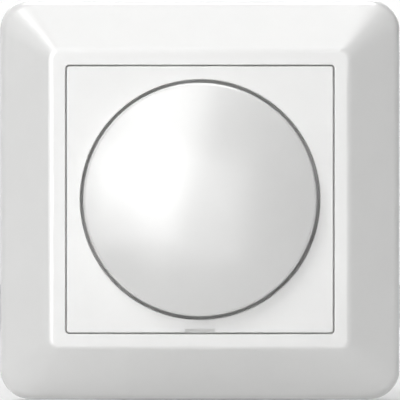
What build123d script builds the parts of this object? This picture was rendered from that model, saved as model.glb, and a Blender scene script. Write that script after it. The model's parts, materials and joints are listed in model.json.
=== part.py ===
from build123d import *
import math
import os

os.makedirs("parts", exist_ok=True)

# A push-and-turn rotary dimmer for a round wall box. +Z is up and the knob turns about Y.
# The wall face is the XZ plane: the room is on its -Y side and the wall box on its +Y side.
# A level is a distance from the wall face, above zero in the room and below zero in the box.
# All sizes are in millimetres.

# Cover frame
frame_size = 82.0
frame_height = 10.5
frame_corner_radius = 6.3
frame_edge_height = 5.0
frame_edge_round = 2.4
frame_wall = 2.0
frame_skin = 2.2
rim_width = 3.1
crest_corner_radius = 2.1
crest_round = 2.4
opening_size = 55.0
opening_corner_radius = 0.8
opening_edge_round = 0.25
collar_wall = 1.5
ledge_depth = 3.5
ledge_width = 1.7
ledge_thickness = 1.4
rib_height = 3.0
rib_thickness = 1.2
rib_offset = 24.0
rib_clearance = 0.3

# Central plate
plate_clearance = 0.2
plate_setback = 0.2
plate_skin = 1.6
plate_skirt_wall = 1.2
plate_corner_radius = 0.6
plate_edge_round = 0.25
well_diameter = 49.1
well_wall = 0.9
well_depth = 5.3
well_floor_thickness = 1.4
well_edge_round = 0.2
plate_hub_diameter = 22.0
plate_rib_length = 9.0
plate_rib_overlap = 0.5
plate_rib_height = 1.2
notch_width = 6.1
notch_height = 0.85
notch_depth = 1.6

# Knob
knob_gap = 0.7
knob_rim_rise = 4.5
knob_dome_rise = 4.45
knob_edge_round = 0.8
knob_wall = 1.8
knob_skin = 2.0
knob_hub_diameter = 11.5
knob_rib_count = 6
knob_rib_thickness = 1.2
knob_floor_clearance = 0.6
knob_cut_margin = 1.0
knob_hub_clearance = 0.4
push_travel = 1.2

# Shaft, its clip and the knob's grip spring
shaft_diameter = 6.0
shaft_flat_depth = 1.4
shaft_chamfer = 0.4
shaft_top_gap = 0.75
socket_clearance = 0.05
grip_thickness = 0.4
grip_width = 3.2
grip_length = 5.0
clip_thickness = 0.6
clip_bore = 4.8
clip_diameter = 9.0
clip_mouth = 3.8

# Bushing, nut and washer
thread_diameter = 10.0
thread_hole_play = 0.4
bushing_length = 8.9
bushing_flange_diameter = 16.8
bushing_flange_thickness = 1.5
thread_chamfer = 0.5
lug_offset = 6.9
lug_diameter = 2.0
lug_height = 1.2
lug_clearance = 0.1
bearing_clearance = 0.05
thread_clearance = 0.05
nut_across_flats = 14.0
nut_thickness = 2.4
washer_diameter = 15.6
washer_thickness = 0.6
washer_tooth_count = 10
washer_tooth_gap = 1.6
washer_tooth_depth = 1.4

# Support plate
support_edge_gap = 3.0
support_thickness = 1.5
support_corner_chamfer = 6.0
box_screw_circle_diameter = 60.0
box_screw_hole_diameter = 3.5
link_slot_length = 9.0
link_slot_width = 3.0
link_slot_offset = 28.5

# Potentiometer
pot_size = 17.0
pot_corner_radius = 2.0
pot_bore_diameter = 15.4
pot_depth = 5.2
wafer_thickness = 0.8
wafer_tail = 2.6
wafer_tail_width = 13.0
rotor_clearance = 0.4
rotor_disc_thickness = 1.4
rotor_hub_diameter = 9.2
rotor_float = 0.05
rotor_recess = 0.65
wiper_thickness = 0.25
wiper_inner_radius = 4.8
wiper_outer_radius = 6.6
wiper_span = 70.0
wiper_dimple_radius = 0.45
pin_diameter = 0.8
pin_pitch = 5.0
pin_hole_clearance = 0.05
lead_diameter = 0.6
lead_overhang = 0.8

# Circuit board
board_thickness = 1.6
board_clearance = 0.3
board_shaft_hole_diameter = 7.4

# Push switch behind the board
switch_width = 15.0
switch_height = 13.0
switch_wall = 1.2
switch_plunger_room = 6.3
switch_bridge_thickness = 0.8
switch_contact_room = 3.4
switch_floor_thickness = 1.0
plunger_clearance = 0.2
plunger_front_gap = 0.8
plunger_cup_depth = 1.1
plunger_cup_wall = 1.0
plunger_cup_clearance = 0.15
plunger_flange_thickness = 1.4
plunger_stem_diameter = 4.0
plunger_stem_length = 3.3
stem_hole_clearance = 0.4
spring_wire = 0.45
spring_radius = 3.3
spring_turns = 2.5
rocker_length = 11.0
rocker_width = 4.0
rocker_thickness = 0.5
rocker_tilt = 8.0
rocker_button_offset = 4.4
rocker_button_radius = 0.9
rocker_button_height = 0.3
contact_gap = 0.05
contact_strip_thickness = 0.3
contact_button_height = 0.2
contact_strip_width = 2.4
contact_leg_gap = 0.1
fulcrum_edge = 0.4
fulcrum_foot = 3.0

# Triac, its pad, screw and nut
triac_width = 10.0
triac_body_length = 9.0
triac_tab_length = 6.4
triac_tab_thickness = 1.3
triac_body_thickness = 3.1
triac_edge_gap = 0.9
triac_hole_diameter = 3.6
triac_hole_edge = 3.0
triac_lead_drop = 0.8
triac_screw_length = 6.0
triac_lead_pitch = 2.54
triac_lead_width = 0.8
triac_lead_thickness = 0.5
triac_lead_reach = 1.9
pad_thickness = 0.25
pad_margin = 0.8
m3_diameter = 3.0
small_nut_across_flats = 5.5
small_nut_thickness = 2.0

# Parts on the board's back
choke_edge_gap = 0.8
choke_z = 2.0
choke_core_diameter = 9.6
choke_core_bore = 4.6
choke_core_height = 6.2
choke_wire = 0.9
choke_gap_angle = 60.0
choke_leg_angle = 8.0
filter_edge_gap = 3.9
filter_z = 0.5
filter_width = 7.0
filter_length = 15.0
filter_height = 11.0
filter_leg_pitch = 12.0
filter_round = 0.6
timing_edge_gap = 2.0
timing_block_offset = 1.1
timing_width = 7.2
timing_thickness = 2.6
timing_height = 6.0
timing_leg_pitch = 5.0
timing_round = 0.4
fuse_edge_gap = 5.4
fuse_diameter = 5.0
fuse_length = 20.0
fuse_cap_length = 5.0
fuse_cap_wall = 0.2
fuse_glass_wall = 0.6
fuse_stand = 1.3
fuse_clip_width = 4.0
fuse_clip_thickness = 0.4
fuse_clip_clearance = 0.05
fuse_clip_x = 7.0
fuse_clip_stem = 1.6
fuse_clip_mouth_start = 1.6
fuse_clip_leg_pitch = 3.2
fuse_wire_diameter = 0.3

# Parts on the board's front
resistor_edge_gap = 0.8
resistor_column_pitch = 11.2
resistor_row_pitch = 2.8
resistor_diameter = 2.4
resistor_length = 6.5
resistor_lead_span = 10.0
diac_x = -9.5
diac_bar_gap = 0.55
diac_diameter = 1.9
diac_length = 4.2
diac_lead_span = 6.0
component_stand = 0.1

# Housing and rear cover
housing_width = 44.0
housing_height = 48.0
housing_circle = 56.0
housing_depth = 24.9
housing_wall = 1.6
rear_cover_thickness = 1.6
rear_cover_edge_round = 0.6
boss_edge_x = 5.4
boss_edge_z = 8.6
boss_diameter = 8.0
boss_pin_diameter = 4.6
boss_pin_clearance = 0.15
vent_count = 5
vent_pitch = 3.0
vent_length = 14.0
vent_width = 1.2
vent_z = 13.0

# Terminals
terminal_count = 3
terminal_pitch = 8.0
terminal_screw_depth = 20.8
terminal_travel = 2.0
clamp_width = 6.2
clamp_depth = 7.0
clamp_side_wall = 0.8
clamp_nut_wall = 1.6
clamp_jaw_wall = 1.0
clamp_clearance = 0.2
wire_room = 3.0
bar_width = 4.0
bar_thickness = 1.0
bar_relief = 0.4
bar_end_gap = 0.9
bar_overhang = 0.8
bar_slot_clearance = 0.1
terminal_head_diameter = 5.0
terminal_head_height = 2.0
terminal_head_gap = 0.1
terminal_screw_length = 5.0
driver_hole_diameter = 3.9
block_front_wall = 1.5
block_side_wall = 1.1
block_top_wall = 0.8
wire_hole_diameter = 3.0

# Claws that spread against the wall box
claw_housing_gap = 0.2
claw_screw_diameter = 3.0
claw_screw_clearance = 0.1
claw_screw_length = 24.2
claw_head_diameter = 4.8
claw_nut_width = 4.8
claw_nut_height = 6.0
claw_nut_length = 4.0
claw_nut_level = -17.0
trunnion_diameter = 2.0
trunnion_length = 1.2
trunnion_clearance = 0.05
claw_sheet = 0.9
claw_cheek_gap = 0.3
claw_web_gap = 0.3
claw_reach = 10.0
claw_web_start = 0.4
claw_eye_radius = 1.9
claw_tooth_length = 1.8
claw_tooth = 1.1
claw_tooth_count = 3
claw_tooth_gap = 1.2
ear_thickness = 2.0
ear_height = 6.4
ear_reach = 6.4
ear_level = -21.6

# Screws
screw_head_height = 1.6
slot_width = 0.8
slot_depth = 0.7
housing_screw_diameter = 2.2
housing_screw_head = 4.2
housing_screw_length = 9.0
pilot_depth_clearance = 0.5
cover_screw_length = 7.0
cover_screw_head_height = 1.3


def level(distance):
    """The plane parallel to the wall at this level: X to the right, Z up, facing the room."""
    return Plane.XZ.offset(distance)


# Half sections of turned pieces are drawn here, with the radius to the right and the level upwards.
turning = Plane(origin=(0, 0, 0), x_dir=(1, 0, 0), z_dir=(0, 0, -1))

# Levels and widths that follow from the sizes above
crest_size = opening_size + 2 * rim_width
bevel_slope = (frame_height - frame_edge_height) / ((frame_size - crest_size) / 2)
cavity_size = frame_size - 2 * frame_wall
cavity_top = frame_height - frame_skin
cavity_edge = cavity_top - bevel_slope * (cavity_size - crest_size) / 2
collar_size = opening_size + 2 * collar_wall
ledge_level = frame_height - ledge_depth
ledge_opening = opening_size - 2 * ledge_width
support_size = cavity_size - 2 * support_edge_gap

plate_size = opening_size - 2 * plate_clearance
plate_face = frame_height - plate_setback
well_floor = plate_face - well_depth
well_back = well_floor - well_floor_thickness
thread_hole_diameter = thread_diameter + thread_hole_play

knob_radius = well_diameter / 2 - knob_gap
knob_rim = plate_face + knob_rim_rise
knob_top = knob_rim + knob_dome_rise
knob_bottom = well_floor + push_travel + knob_floor_clearance
dome_radius = (knob_radius**2 + knob_dome_rise**2) / (2 * knob_dome_rise)
dome_centre = knob_top - dome_radius
knob_hub_level = bushing_length + push_travel + knob_hub_clearance

shaft_radius = shaft_diameter / 2
shaft_flat = shaft_radius - shaft_flat_depth
shaft_top = knob_top - knob_skin - shaft_top_gap
bushing_back = -bushing_flange_thickness

wafer_front = bushing_back - pot_depth
board_front = wafer_front - wafer_thickness
board_back = board_front - board_thickness
rotor_back = wafer_front + rotor_float
rotor_disc_back = rotor_back + rotor_recess
rotor_disc_front = rotor_disc_back + rotor_disc_thickness
rotor_front = bushing_back - clip_thickness - push_travel - 0.3
rotor_flat_level = bushing_back - clip_thickness
pin_z = -pot_size / 2 - wafer_tail / 2
pin_places = [(-pin_pitch, pin_z), (0, pin_z), (pin_pitch, pin_z)]

plunger_front = board_back - plunger_front_gap
shaft_bottom = plunger_front - plunger_cup_depth
plunger_back = shaft_bottom - plunger_flange_thickness
bridge_front = board_back - switch_plunger_room
bridge_back = bridge_front - switch_bridge_thickness
switch_floor = bridge_back - switch_contact_room
switch_back = switch_floor - switch_floor_thickness
tilt = math.radians(rocker_tilt)
contact_height = contact_strip_thickness + contact_button_height
rocker_reach = rocker_button_offset + rocker_button_radius
rocker_level = (
    switch_floor
    + contact_height
    + contact_gap
    + rocker_reach * math.sin(tilt)
    + (rocker_thickness / 2 + rocker_button_height) * math.cos(tilt)
)

fulcrum_top = rocker_level - rocker_thickness / 2 - contact_gap
leg_x = switch_width / 2 + contact_leg_gap + contact_strip_thickness / 2
leg_z = switch_height / 2 + contact_leg_gap + contact_strip_thickness / 2

housing_inner_x = housing_width / 2 - housing_wall
housing_inner_z = housing_height / 2 - housing_wall
boss_x = housing_width / 2 - boss_edge_x
boss_z = housing_height / 2 - boss_edge_z
claw_screw_x = housing_width / 2 + claw_housing_gap + claw_nut_width / 2
head_bottom_z = -housing_inner_z + terminal_head_gap
head_top_z = head_bottom_z + terminal_head_height
terminal_bar_z = head_top_z + terminal_screw_length
bar_top_z = terminal_bar_z + bar_thickness
bar_middle_z = terminal_bar_z + bar_thickness / 2
jaw_z = bar_top_z + wire_room
clamp_top_z = jaw_z + clamp_jaw_wall
pocket_top_z = clamp_top_z + clamp_clearance
block_top_z = pocket_top_z + block_top_wall

triac_z = housing_inner_z - triac_edge_gap - triac_width / 2
choke_x = -housing_inner_x + choke_edge_gap + choke_wire + choke_core_diameter / 2
filter_x = housing_inner_x - filter_edge_gap - filter_width / 2
timing_x = -housing_inner_x + timing_edge_gap + timing_width / 2
timing_z = block_top_z + timing_block_offset
fuse_z = housing_inner_z - fuse_edge_gap - fuse_diameter / 2
resistor_z = (
    -housing_inner_z + resistor_edge_gap + resistor_diameter / 2 + resistor_row_pitch / 2
)
diac_z = bar_top_z + diac_bar_gap + diac_diameter / 2
triac_length = triac_tab_length + triac_body_length
triac_hole_x = -triac_length / 2 + triac_hole_edge
triac_lead_x = triac_length / 2 + triac_lead_reach
triac_lead_places = [triac_z + i * triac_lead_pitch for i in (-1, 0, 1)]
tab_back = -pad_thickness - triac_tab_thickness

choke_leg_radius = choke_core_diameter / 2
choke_leg_turn = math.radians(choke_gap_angle / 2 + choke_leg_angle)
choke_legs = [
    (
        choke_x + side * choke_leg_radius * math.sin(choke_leg_turn),
        choke_z + choke_leg_radius * math.cos(choke_leg_turn),
    )
    for side in (-1, 1)
]
filter_legs = [(filter_x, filter_z + side * filter_leg_pitch / 2) for side in (-1, 1)]
timing_legs = [(timing_x + side * timing_leg_pitch / 2, timing_z) for side in (-1, 1)]
fuse_level = board_back - fuse_stand - fuse_diameter / 2
clip_legs = [
    (x, fuse_z + side * fuse_clip_leg_pitch / 2)
    for x in (-fuse_clip_x, fuse_clip_x)
    for side in (-1, 1)
]
resistor_level = board_front + component_stand + resistor_diameter / 2
resistor_places = [
    (column * resistor_column_pitch / 2, resistor_z + row * resistor_row_pitch / 2)
    for column in (-1, 1)
    for row in (-1, 1)
]
resistor_legs = [
    (x + side * resistor_lead_span / 2, z)
    for x, z in resistor_places
    for side in (-1, 1)
]
diac_level = board_front + component_stand + diac_diameter / 2
diac_legs = [(diac_x + side * diac_lead_span / 2, diac_z) for side in (-1, 1)]

rear_cover_front = -housing_depth
terminal_level = -terminal_screw_depth
terminal_places = [
    terminal_pitch * (i - (terminal_count - 1) / 2) for i in range(terminal_count)
]
clamp_front = terminal_level + clamp_depth / 2
clamp_nut_top_z = terminal_bar_z - bar_relief
clamp_bottom_z = clamp_nut_top_z - clamp_nut_wall
wire_z = bar_top_z + wire_room / 2
pocket_width = clamp_width + 2 * clamp_clearance
pocket_bottom_z = clamp_bottom_z - terminal_travel - clamp_clearance
pocket_front = clamp_front + clamp_clearance
block_width = terminal_pitch * (terminal_count - 1) + pocket_width + 2 * block_side_wall
block_front = pocket_front + block_front_wall

trunnion_reach = claw_nut_height / 2 + trunnion_length
cheek_inner_z = claw_nut_height / 2 + claw_cheek_gap
cheek_outer_z = cheek_inner_z + claw_sheet
web_inner_x = claw_screw_x + claw_nut_width / 2 + claw_web_gap
web_outer_x = web_inner_x + claw_sheet


def d_shape(radius, flat):
    """A circle with a flat across its top, in a sketch."""
    Circle(radius)
    with Locations((0, flat)):
        Rectangle(
            3 * radius, 2 * radius, align=(Align.CENTER, Align.MIN), mode=Mode.SUBTRACT
        )


def slotted_screws(seat, places, diameter, length, head, head_height):
    """Slotted screws, with their heads on the seat plane and their shanks behind it."""
    with BuildPart() as screws:
        with BuildSketch(seat):
            with Locations(*places):
                Circle(head / 2)
        extrude(amount=head_height)
        with BuildSketch(seat):
            with Locations(*places):
                Circle(diameter / 2)
        extrude(amount=-length)
        with BuildSketch(seat.offset(head_height)):
            with Locations(*places):
                Rectangle(head, slot_width)
        extrude(amount=-slot_depth, mode=Mode.SUBTRACT)
    return screws


# Cover frame: a hollow moulding with flat bevels, a flat rim and a collar with a ledge round its opening
with BuildPart() as frame_hollow:
    with BuildSketch(level(0)):
        RectangleRounded(cavity_size, cavity_size, frame_corner_radius - frame_wall)
    extrude(amount=cavity_edge)
    with BuildSketch(level(cavity_edge)):
        RectangleRounded(cavity_size, cavity_size, frame_corner_radius - frame_wall)
    with BuildSketch(level(cavity_top)):
        RectangleRounded(crest_size, crest_size, crest_corner_radius)
    loft(ruled=True)
    with BuildSketch(level(ledge_level - ledge_thickness)):
        RectangleRounded(collar_size, collar_size, opening_corner_radius + collar_wall)
    extrude(amount=frame_height, mode=Mode.SUBTRACT)

with BuildPart() as cover_frame:
    with BuildSketch(level(0)):
        RectangleRounded(frame_size, frame_size, frame_corner_radius)
    extrude(amount=frame_edge_height)
    with BuildSketch(level(frame_edge_height)):
        RectangleRounded(frame_size, frame_size, frame_corner_radius)
    with BuildSketch(level(frame_height)):
        RectangleRounded(crest_size, crest_size, crest_corner_radius)
    loft(ruled=True)
    fillet(cover_frame.faces().sort_by(Axis.Y)[0].edges(), crest_round)
    edge_line = cover_frame.edges().filter_by_position(
        Axis.Y, -frame_edge_height - 0.01, -frame_edge_height + 0.01
    )
    fillet(edge_line, frame_edge_round)
    add(frame_hollow.part, mode=Mode.SUBTRACT)
    with BuildSketch(level(ledge_level)):
        RectangleRounded(opening_size, opening_size, opening_corner_radius)
    extrude(amount=frame_height, mode=Mode.SUBTRACT)
    with BuildSketch(level(0)):
        RectangleRounded(ledge_opening, ledge_opening, opening_corner_radius)
    extrude(amount=frame_height, mode=Mode.SUBTRACT)
    rim_face = cover_frame.faces().sort_by(Axis.Y)[0]
    fillet(rim_face.inner_wires()[0].edges(), opening_edge_round)
    rib_start = support_size / 2 + rib_clearance
    rib_reach = cavity_size / 2 + frame_wall / 2 - rib_start
    with BuildSketch(level(0)):
        with PolarLocations(rib_start + rib_reach / 2, 4):
            with Locations((0, rib_offset), (0, -rib_offset)):
                Rectangle(rib_reach, rib_thickness)
    extrude(amount=rib_height)

cover_frame.part.label = "cover_frame"
export_step(cover_frame.part, "parts/cover_frame.step")

# Central plate: a square tray with a round well for the knob, clamped by the nut on the bushing
with BuildPart() as central_plate:
    with BuildSketch(level(ledge_level)):
        RectangleRounded(plate_size, plate_size, plate_corner_radius)
    extrude(amount=plate_face - ledge_level)
    fillet(central_plate.faces().sort_by(Axis.Y)[0].edges(), plate_edge_round)
    with BuildSketch(level(ledge_level)):
        skirt_inner = plate_size - 2 * plate_skirt_wall
        RectangleRounded(skirt_inner, skirt_inner, plate_corner_radius)
    extrude(amount=plate_face - plate_skin - ledge_level, mode=Mode.SUBTRACT)
    with BuildSketch(level(well_back)):
        Circle(well_diameter / 2 + well_wall)
    extrude(amount=plate_face - plate_skin / 2 - well_back)
    with BuildSketch(level(support_thickness)):
        Circle(plate_hub_diameter / 2)
    extrude(amount=well_back - support_thickness)
    with BuildSketch(level(well_back - plate_rib_height)):
        with PolarLocations(plate_hub_diameter / 2 + plate_rib_length / 2, 4):
            Rectangle(plate_rib_length + 2 * plate_rib_overlap, rib_thickness)
    extrude(amount=plate_rib_height)
    with BuildSketch(level(well_floor)):
        Circle(well_diameter / 2)
    extrude(amount=frame_height, mode=Mode.SUBTRACT)
    with BuildSketch(level(0)):
        Circle(thread_hole_diameter / 2)
    extrude(amount=frame_height, mode=Mode.SUBTRACT)
    plate_front = central_plate.faces().sort_by(Axis.Y)[0]
    fillet(plate_front.inner_wires()[0].edges(), well_edge_round)
    with BuildSketch(level(plate_face)):
        with Locations((0, -plate_size / 2)):
            Rectangle(notch_width, 2 * notch_height)
    extrude(amount=-notch_depth, mode=Mode.SUBTRACT)

central_plate.part.label = "central_plate"
export_step(central_plate.part, "parts/central_plate.step")

# Knob: a shallow domed cap with a skirt, inner ribs and a hub with a D-shaped socket
with BuildPart() as knob_hollow:
    with BuildSketch(turning):
        inner_radius = knob_radius - knob_wall
        inner_dome = dome_radius - knob_skin
        with BuildLine():
            dome_end = (
                inner_radius,
                dome_centre + math.sqrt(inner_dome**2 - inner_radius**2),
            )
            dome_middle = (
                inner_radius / 2,
                dome_centre + math.sqrt(inner_dome**2 - (inner_radius / 2) ** 2),
            )
            ThreePointArc((0, dome_centre + inner_dome), dome_middle, dome_end)
            Polyline(
                dome_end,
                (inner_radius, knob_bottom - knob_cut_margin),
                (0, knob_bottom - knob_cut_margin),
                (0, dome_centre + inner_dome),
            )
        make_face()
    revolve(axis=Axis.Y)
    with BuildSketch(level(knob_hub_level)):
        Circle(knob_hub_diameter / 2)
        with PolarLocations(knob_radius / 2, knob_rib_count):
            Rectangle(knob_radius, knob_rib_thickness)
    extrude(amount=knob_top, mode=Mode.SUBTRACT)

with BuildPart() as knob:
    with BuildSketch(level(knob_bottom)):
        Circle(knob_radius)
    extrude(amount=knob_top - knob_bottom)
    with Locations((0, -dome_centre, 0)):
        Sphere(dome_radius, mode=Mode.INTERSECT)
    rim_circle = knob.edges().filter_by(GeomType.CIRCLE).filter_by_position(
        Axis.Y, -knob_rim - 0.01, -knob_rim + 0.01
    )
    fillet(rim_circle, knob_edge_round)
    add(knob_hollow.part, mode=Mode.SUBTRACT)
    with BuildSketch(level(knob_hub_level)):
        d_shape(
            shaft_radius + socket_clearance,
            shaft_flat + grip_thickness + socket_clearance,
        )
    extrude(amount=shaft_top + socket_clearance - knob_hub_level, mode=Mode.SUBTRACT)

knob.part.label = "knob"
export_step(knob.part, "parts/knob.step")

# Grip spring: the flat steel strip between the shaft's flat and the knob's socket
with BuildPart() as grip_spring:
    with BuildSketch(level(shaft_top - grip_length)):
        with Locations((0, shaft_flat)):
            Rectangle(grip_width, grip_thickness, align=(Align.CENTER, Align.MIN))
    extrude(amount=grip_length)

grip_spring.part.label = "grip_spring"
export_step(grip_spring.part, "parts/grip_spring.step")

# Control shaft: round in the bushing, with a flat for the knob and a flat for the rotor
with BuildPart() as control_shaft:
    with BuildSketch(level(shaft_bottom)):
        Circle(shaft_radius)
    extrude(amount=shaft_top - shaft_bottom)
    chamfer(control_shaft.faces().sort_by(Axis.Y)[0].edges(), shaft_chamfer)
    with BuildSketch(level(knob_hub_level)):
        with Locations((0, shaft_flat)):
            Rectangle(shaft_diameter, shaft_diameter, align=(Align.CENTER, Align.MIN))
    extrude(amount=shaft_top - knob_hub_level, mode=Mode.SUBTRACT)
    with BuildSketch(level(shaft_bottom)):
        with Locations((0, shaft_flat)):
            Rectangle(shaft_diameter, shaft_diameter, align=(Align.CENTER, Align.MIN))
    extrude(amount=rotor_flat_level - shaft_bottom, mode=Mode.SUBTRACT)
    with BuildSketch(level(bushing_back)):
        Circle(shaft_diameter)
        Circle(clip_bore / 2, mode=Mode.SUBTRACT)
    extrude(amount=-clip_thickness, mode=Mode.SUBTRACT)

control_shaft.part.label = "control_shaft"
export_step(control_shaft.part, "parts/control_shaft.step")

# Shaft clip: the open ring in the shaft's groove that stops the shaft at the bushing
with BuildPart() as shaft_clip:
    with BuildSketch(level(rotor_flat_level)):
        Circle(clip_diameter / 2)
        Circle(clip_bore / 2, mode=Mode.SUBTRACT)
        Rectangle(
            clip_mouth,
            clip_diameter,
            align=(Align.CENTER, Align.MAX),
            mode=Mode.SUBTRACT,
        )
    extrude(amount=clip_thickness)

shaft_clip.part.label = "shaft_clip"
export_step(shaft_clip.part, "parts/shaft_clip.step")

# Threaded bushing: the shaft's bearing, with a flange that closes the potentiometer
with BuildPart() as threaded_bushing:
    with BuildSketch(level(bushing_back)):
        Circle(bushing_flange_diameter / 2)
    extrude(amount=bushing_flange_thickness)
    with BuildSketch(level(0)):
        Circle(thread_diameter / 2)
    extrude(amount=bushing_length)
    chamfer(threaded_bushing.faces().sort_by(Axis.Y)[0].edges(), thread_chamfer)
    with BuildSketch(level(0)):
        with Locations((0, -lug_offset)):
            Circle(lug_diameter / 2)
    extrude(amount=lug_height)
    with BuildSketch(level(bushing_back)):
        Circle(shaft_radius + bearing_clearance)
    extrude(amount=bushing_length - bushing_back, mode=Mode.SUBTRACT)

threaded_bushing.part.label = "threaded_bushing"
export_step(threaded_bushing.part, "parts/threaded_bushing.step")

# Lock washer with outer teeth, and the nut that clamps the central plate and the frame
with BuildPart() as lock_washer:
    with BuildSketch(level(well_floor)):
        Circle(washer_diameter / 2)
        Circle(thread_hole_diameter / 2, mode=Mode.SUBTRACT)
        with PolarLocations(washer_diameter / 2, washer_tooth_count):
            Rectangle(
                2 * washer_tooth_depth, washer_tooth_gap, mode=Mode.SUBTRACT
            )
    extrude(amount=washer_thickness)

lock_washer.part.label = "lock_washer"
export_step(lock_washer.part, "parts/lock_washer.step")

with BuildPart() as bushing_nut:
    with BuildSketch(level(well_floor + washer_thickness)):
        RegularPolygon(nut_across_flats / 2, 6, major_radius=False)
        Circle(thread_diameter / 2 + thread_clearance, mode=Mode.SUBTRACT)
    extrude(amount=nut_thickness)

bushing_nut.part.label = "bushing_nut"
export_step(bushing_nut.part, "parts/bushing_nut.step")

# Support plate: the steel plate that is screwed to the wall box and carries everything
with BuildPart() as support_plate:
    with BuildSketch(level(0)) as support_outline:
        Rectangle(support_size, support_size)
        chamfer(support_outline.vertices(), support_corner_chamfer)
        Circle(thread_hole_diameter / 2, mode=Mode.SUBTRACT)
        with Locations((0, -lug_offset)):
            Circle(lug_diameter / 2 + lug_clearance, mode=Mode.SUBTRACT)
        with PolarLocations(box_screw_circle_diameter / 2, 4):
            Circle(box_screw_hole_diameter / 2, mode=Mode.SUBTRACT)
        with PolarLocations(box_screw_circle_diameter / 2, 4, start_angle=45):
            SlotOverall(
                link_slot_length, link_slot_width, rotation=90, mode=Mode.SUBTRACT
            )
        with Locations((claw_screw_x, 0), (-claw_screw_x, 0)):
            Circle(claw_screw_diameter / 2 + claw_screw_clearance, mode=Mode.SUBTRACT)
        with GridLocations(2 * boss_x, 2 * boss_z, 2, 2):
            Circle(
                housing_screw_diameter / 2 + claw_screw_clearance, mode=Mode.SUBTRACT
            )
        with Locations((triac_hole_x, triac_z)):
            Circle(m3_diameter / 2 + claw_screw_clearance, mode=Mode.SUBTRACT)
    extrude(amount=support_thickness)

support_plate.part.label = "support_plate"
export_step(support_plate.part, "parts/support_plate.step")

# Potentiometer: its case, the wafer with the resistance track, and its three pins
with BuildPart() as pot_case:
    with BuildSketch(level(wafer_front)):
        RectangleRounded(pot_size, pot_size, pot_corner_radius)
        Circle(pot_bore_diameter / 2, mode=Mode.SUBTRACT)
    extrude(amount=pot_depth)

pot_case.part.label = "pot_case"
export_step(pot_case.part, "parts/pot_case.step")

with BuildPart() as track_wafer:
    with BuildSketch(level(board_front)):
        RectangleRounded(pot_size, pot_size, pot_corner_radius)
        with Locations((0, -pot_size / 2)):
            Rectangle(wafer_tail_width, 2 * wafer_tail)
        Circle(board_shaft_hole_diameter / 2, mode=Mode.SUBTRACT)
        with Locations(*pin_places):
            Circle(pin_diameter / 2 + pin_hole_clearance, mode=Mode.SUBTRACT)
    extrude(amount=wafer_thickness)

track_wafer.part.label = "track_wafer"
export_step(track_wafer.part, "parts/track_wafer.step")

with BuildPart() as pot_pins:
    with BuildSketch(level(board_back - lead_overhang)):
        with Locations(*pin_places):
            Circle(pin_diameter / 2)
    extrude(amount=wafer_front - board_back + 2 * lead_overhang)

pot_pins.part.label = "pot_pins"
export_step(pot_pins.part, "parts/pot_pins.step")

# Wiper rotor: turned by the shaft's flat, with a spring contact on its back
with BuildPart() as wiper_rotor:
    with BuildSketch(level(rotor_disc_back)):
        Circle(pot_bore_diameter / 2 - rotor_clearance)
    extrude(amount=rotor_disc_thickness)
    with BuildSketch(level(rotor_back)):
        Circle(rotor_hub_diameter / 2)
    extrude(amount=rotor_front - rotor_back)
    with BuildSketch(level(rotor_back)):
        d_shape(shaft_radius + socket_clearance, shaft_flat + socket_clearance)
    extrude(amount=rotor_front - rotor_back, mode=Mode.SUBTRACT)

wiper_rotor.part.label = "wiper_rotor"
export_step(wiper_rotor.part, "parts/wiper_rotor.step")

with BuildPart() as wiper_contact:
    with BuildSketch(level(rotor_disc_back - wiper_thickness)):
        Circle(wiper_outer_radius)
        Circle(wiper_inner_radius, mode=Mode.SUBTRACT)
        half_span = math.radians(wiper_span / 2)
        wedge = 2 * wiper_outer_radius
        with BuildLine():
            Polyline(
                (0, 0),
                (wedge * math.sin(half_span), wedge * math.cos(half_span)),
                (-wedge * math.sin(half_span), wedge * math.cos(half_span)),
                close=True,
            )
        make_face(mode=Mode.INTERSECT)
    extrude(amount=wiper_thickness)
    with BuildSketch(level(rotor_back)):
        with Locations((0, (wiper_inner_radius + wiper_outer_radius) / 2)):
            Circle(wiper_dimple_radius)
    extrude(amount=rotor_recess)

wiper_contact.part.label = "wiper_contact"
export_step(wiper_contact.part, "parts/wiper_contact.step")

# Circuit board: it rests on the housing's four bosses, and every lead goes through it
with BuildPart() as circuit_board:
    with BuildSketch(level(board_back)):
        Rectangle(
            housing_width - 2 * housing_wall - 2 * board_clearance,
            housing_height - 2 * housing_wall - 2 * board_clearance,
        )
        Circle(housing_circle / 2 - housing_wall - board_clearance, mode=Mode.INTERSECT)
        Circle(board_shaft_hole_diameter / 2, mode=Mode.SUBTRACT)
        with GridLocations(2 * boss_x, 2 * boss_z, 2, 2):
            Circle(boss_pin_diameter / 2 + boss_pin_clearance, mode=Mode.SUBTRACT)
        with Locations(*[(x, bar_middle_z) for x in terminal_places]):
            Rectangle(
                bar_width + 2 * pin_hole_clearance,
                bar_thickness + 2 * pin_hole_clearance,
                mode=Mode.SUBTRACT,
            )
        with Locations((leg_x, 0), (-leg_x, 0)):
            Rectangle(
                contact_strip_thickness + 2 * pin_hole_clearance,
                contact_strip_width + 2 * pin_hole_clearance,
                mode=Mode.SUBTRACT,
            )
        with Locations((0, leg_z)):
            Rectangle(
                fulcrum_foot + 2 * pin_hole_clearance,
                contact_strip_thickness + 2 * pin_hole_clearance,
                mode=Mode.SUBTRACT,
            )
        with Locations(*[(triac_lead_x, z) for z in triac_lead_places]):
            Rectangle(
                triac_lead_thickness + 2 * pin_hole_clearance,
                triac_lead_width + 2 * pin_hole_clearance,
                mode=Mode.SUBTRACT,
            )
        with Locations(*pin_places, *filter_legs, *clip_legs):
            Circle(pin_diameter / 2 + pin_hole_clearance, mode=Mode.SUBTRACT)
        with Locations(*choke_legs):
            Circle(choke_wire / 2 + pin_hole_clearance, mode=Mode.SUBTRACT)
        with Locations(*timing_legs, *resistor_legs, *diac_legs):
            Circle(lead_diameter / 2 + pin_hole_clearance, mode=Mode.SUBTRACT)
    extrude(amount=board_thickness)

circuit_board.part.label = "circuit_board"
export_step(circuit_board.part, "parts/circuit_board.step")

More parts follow.
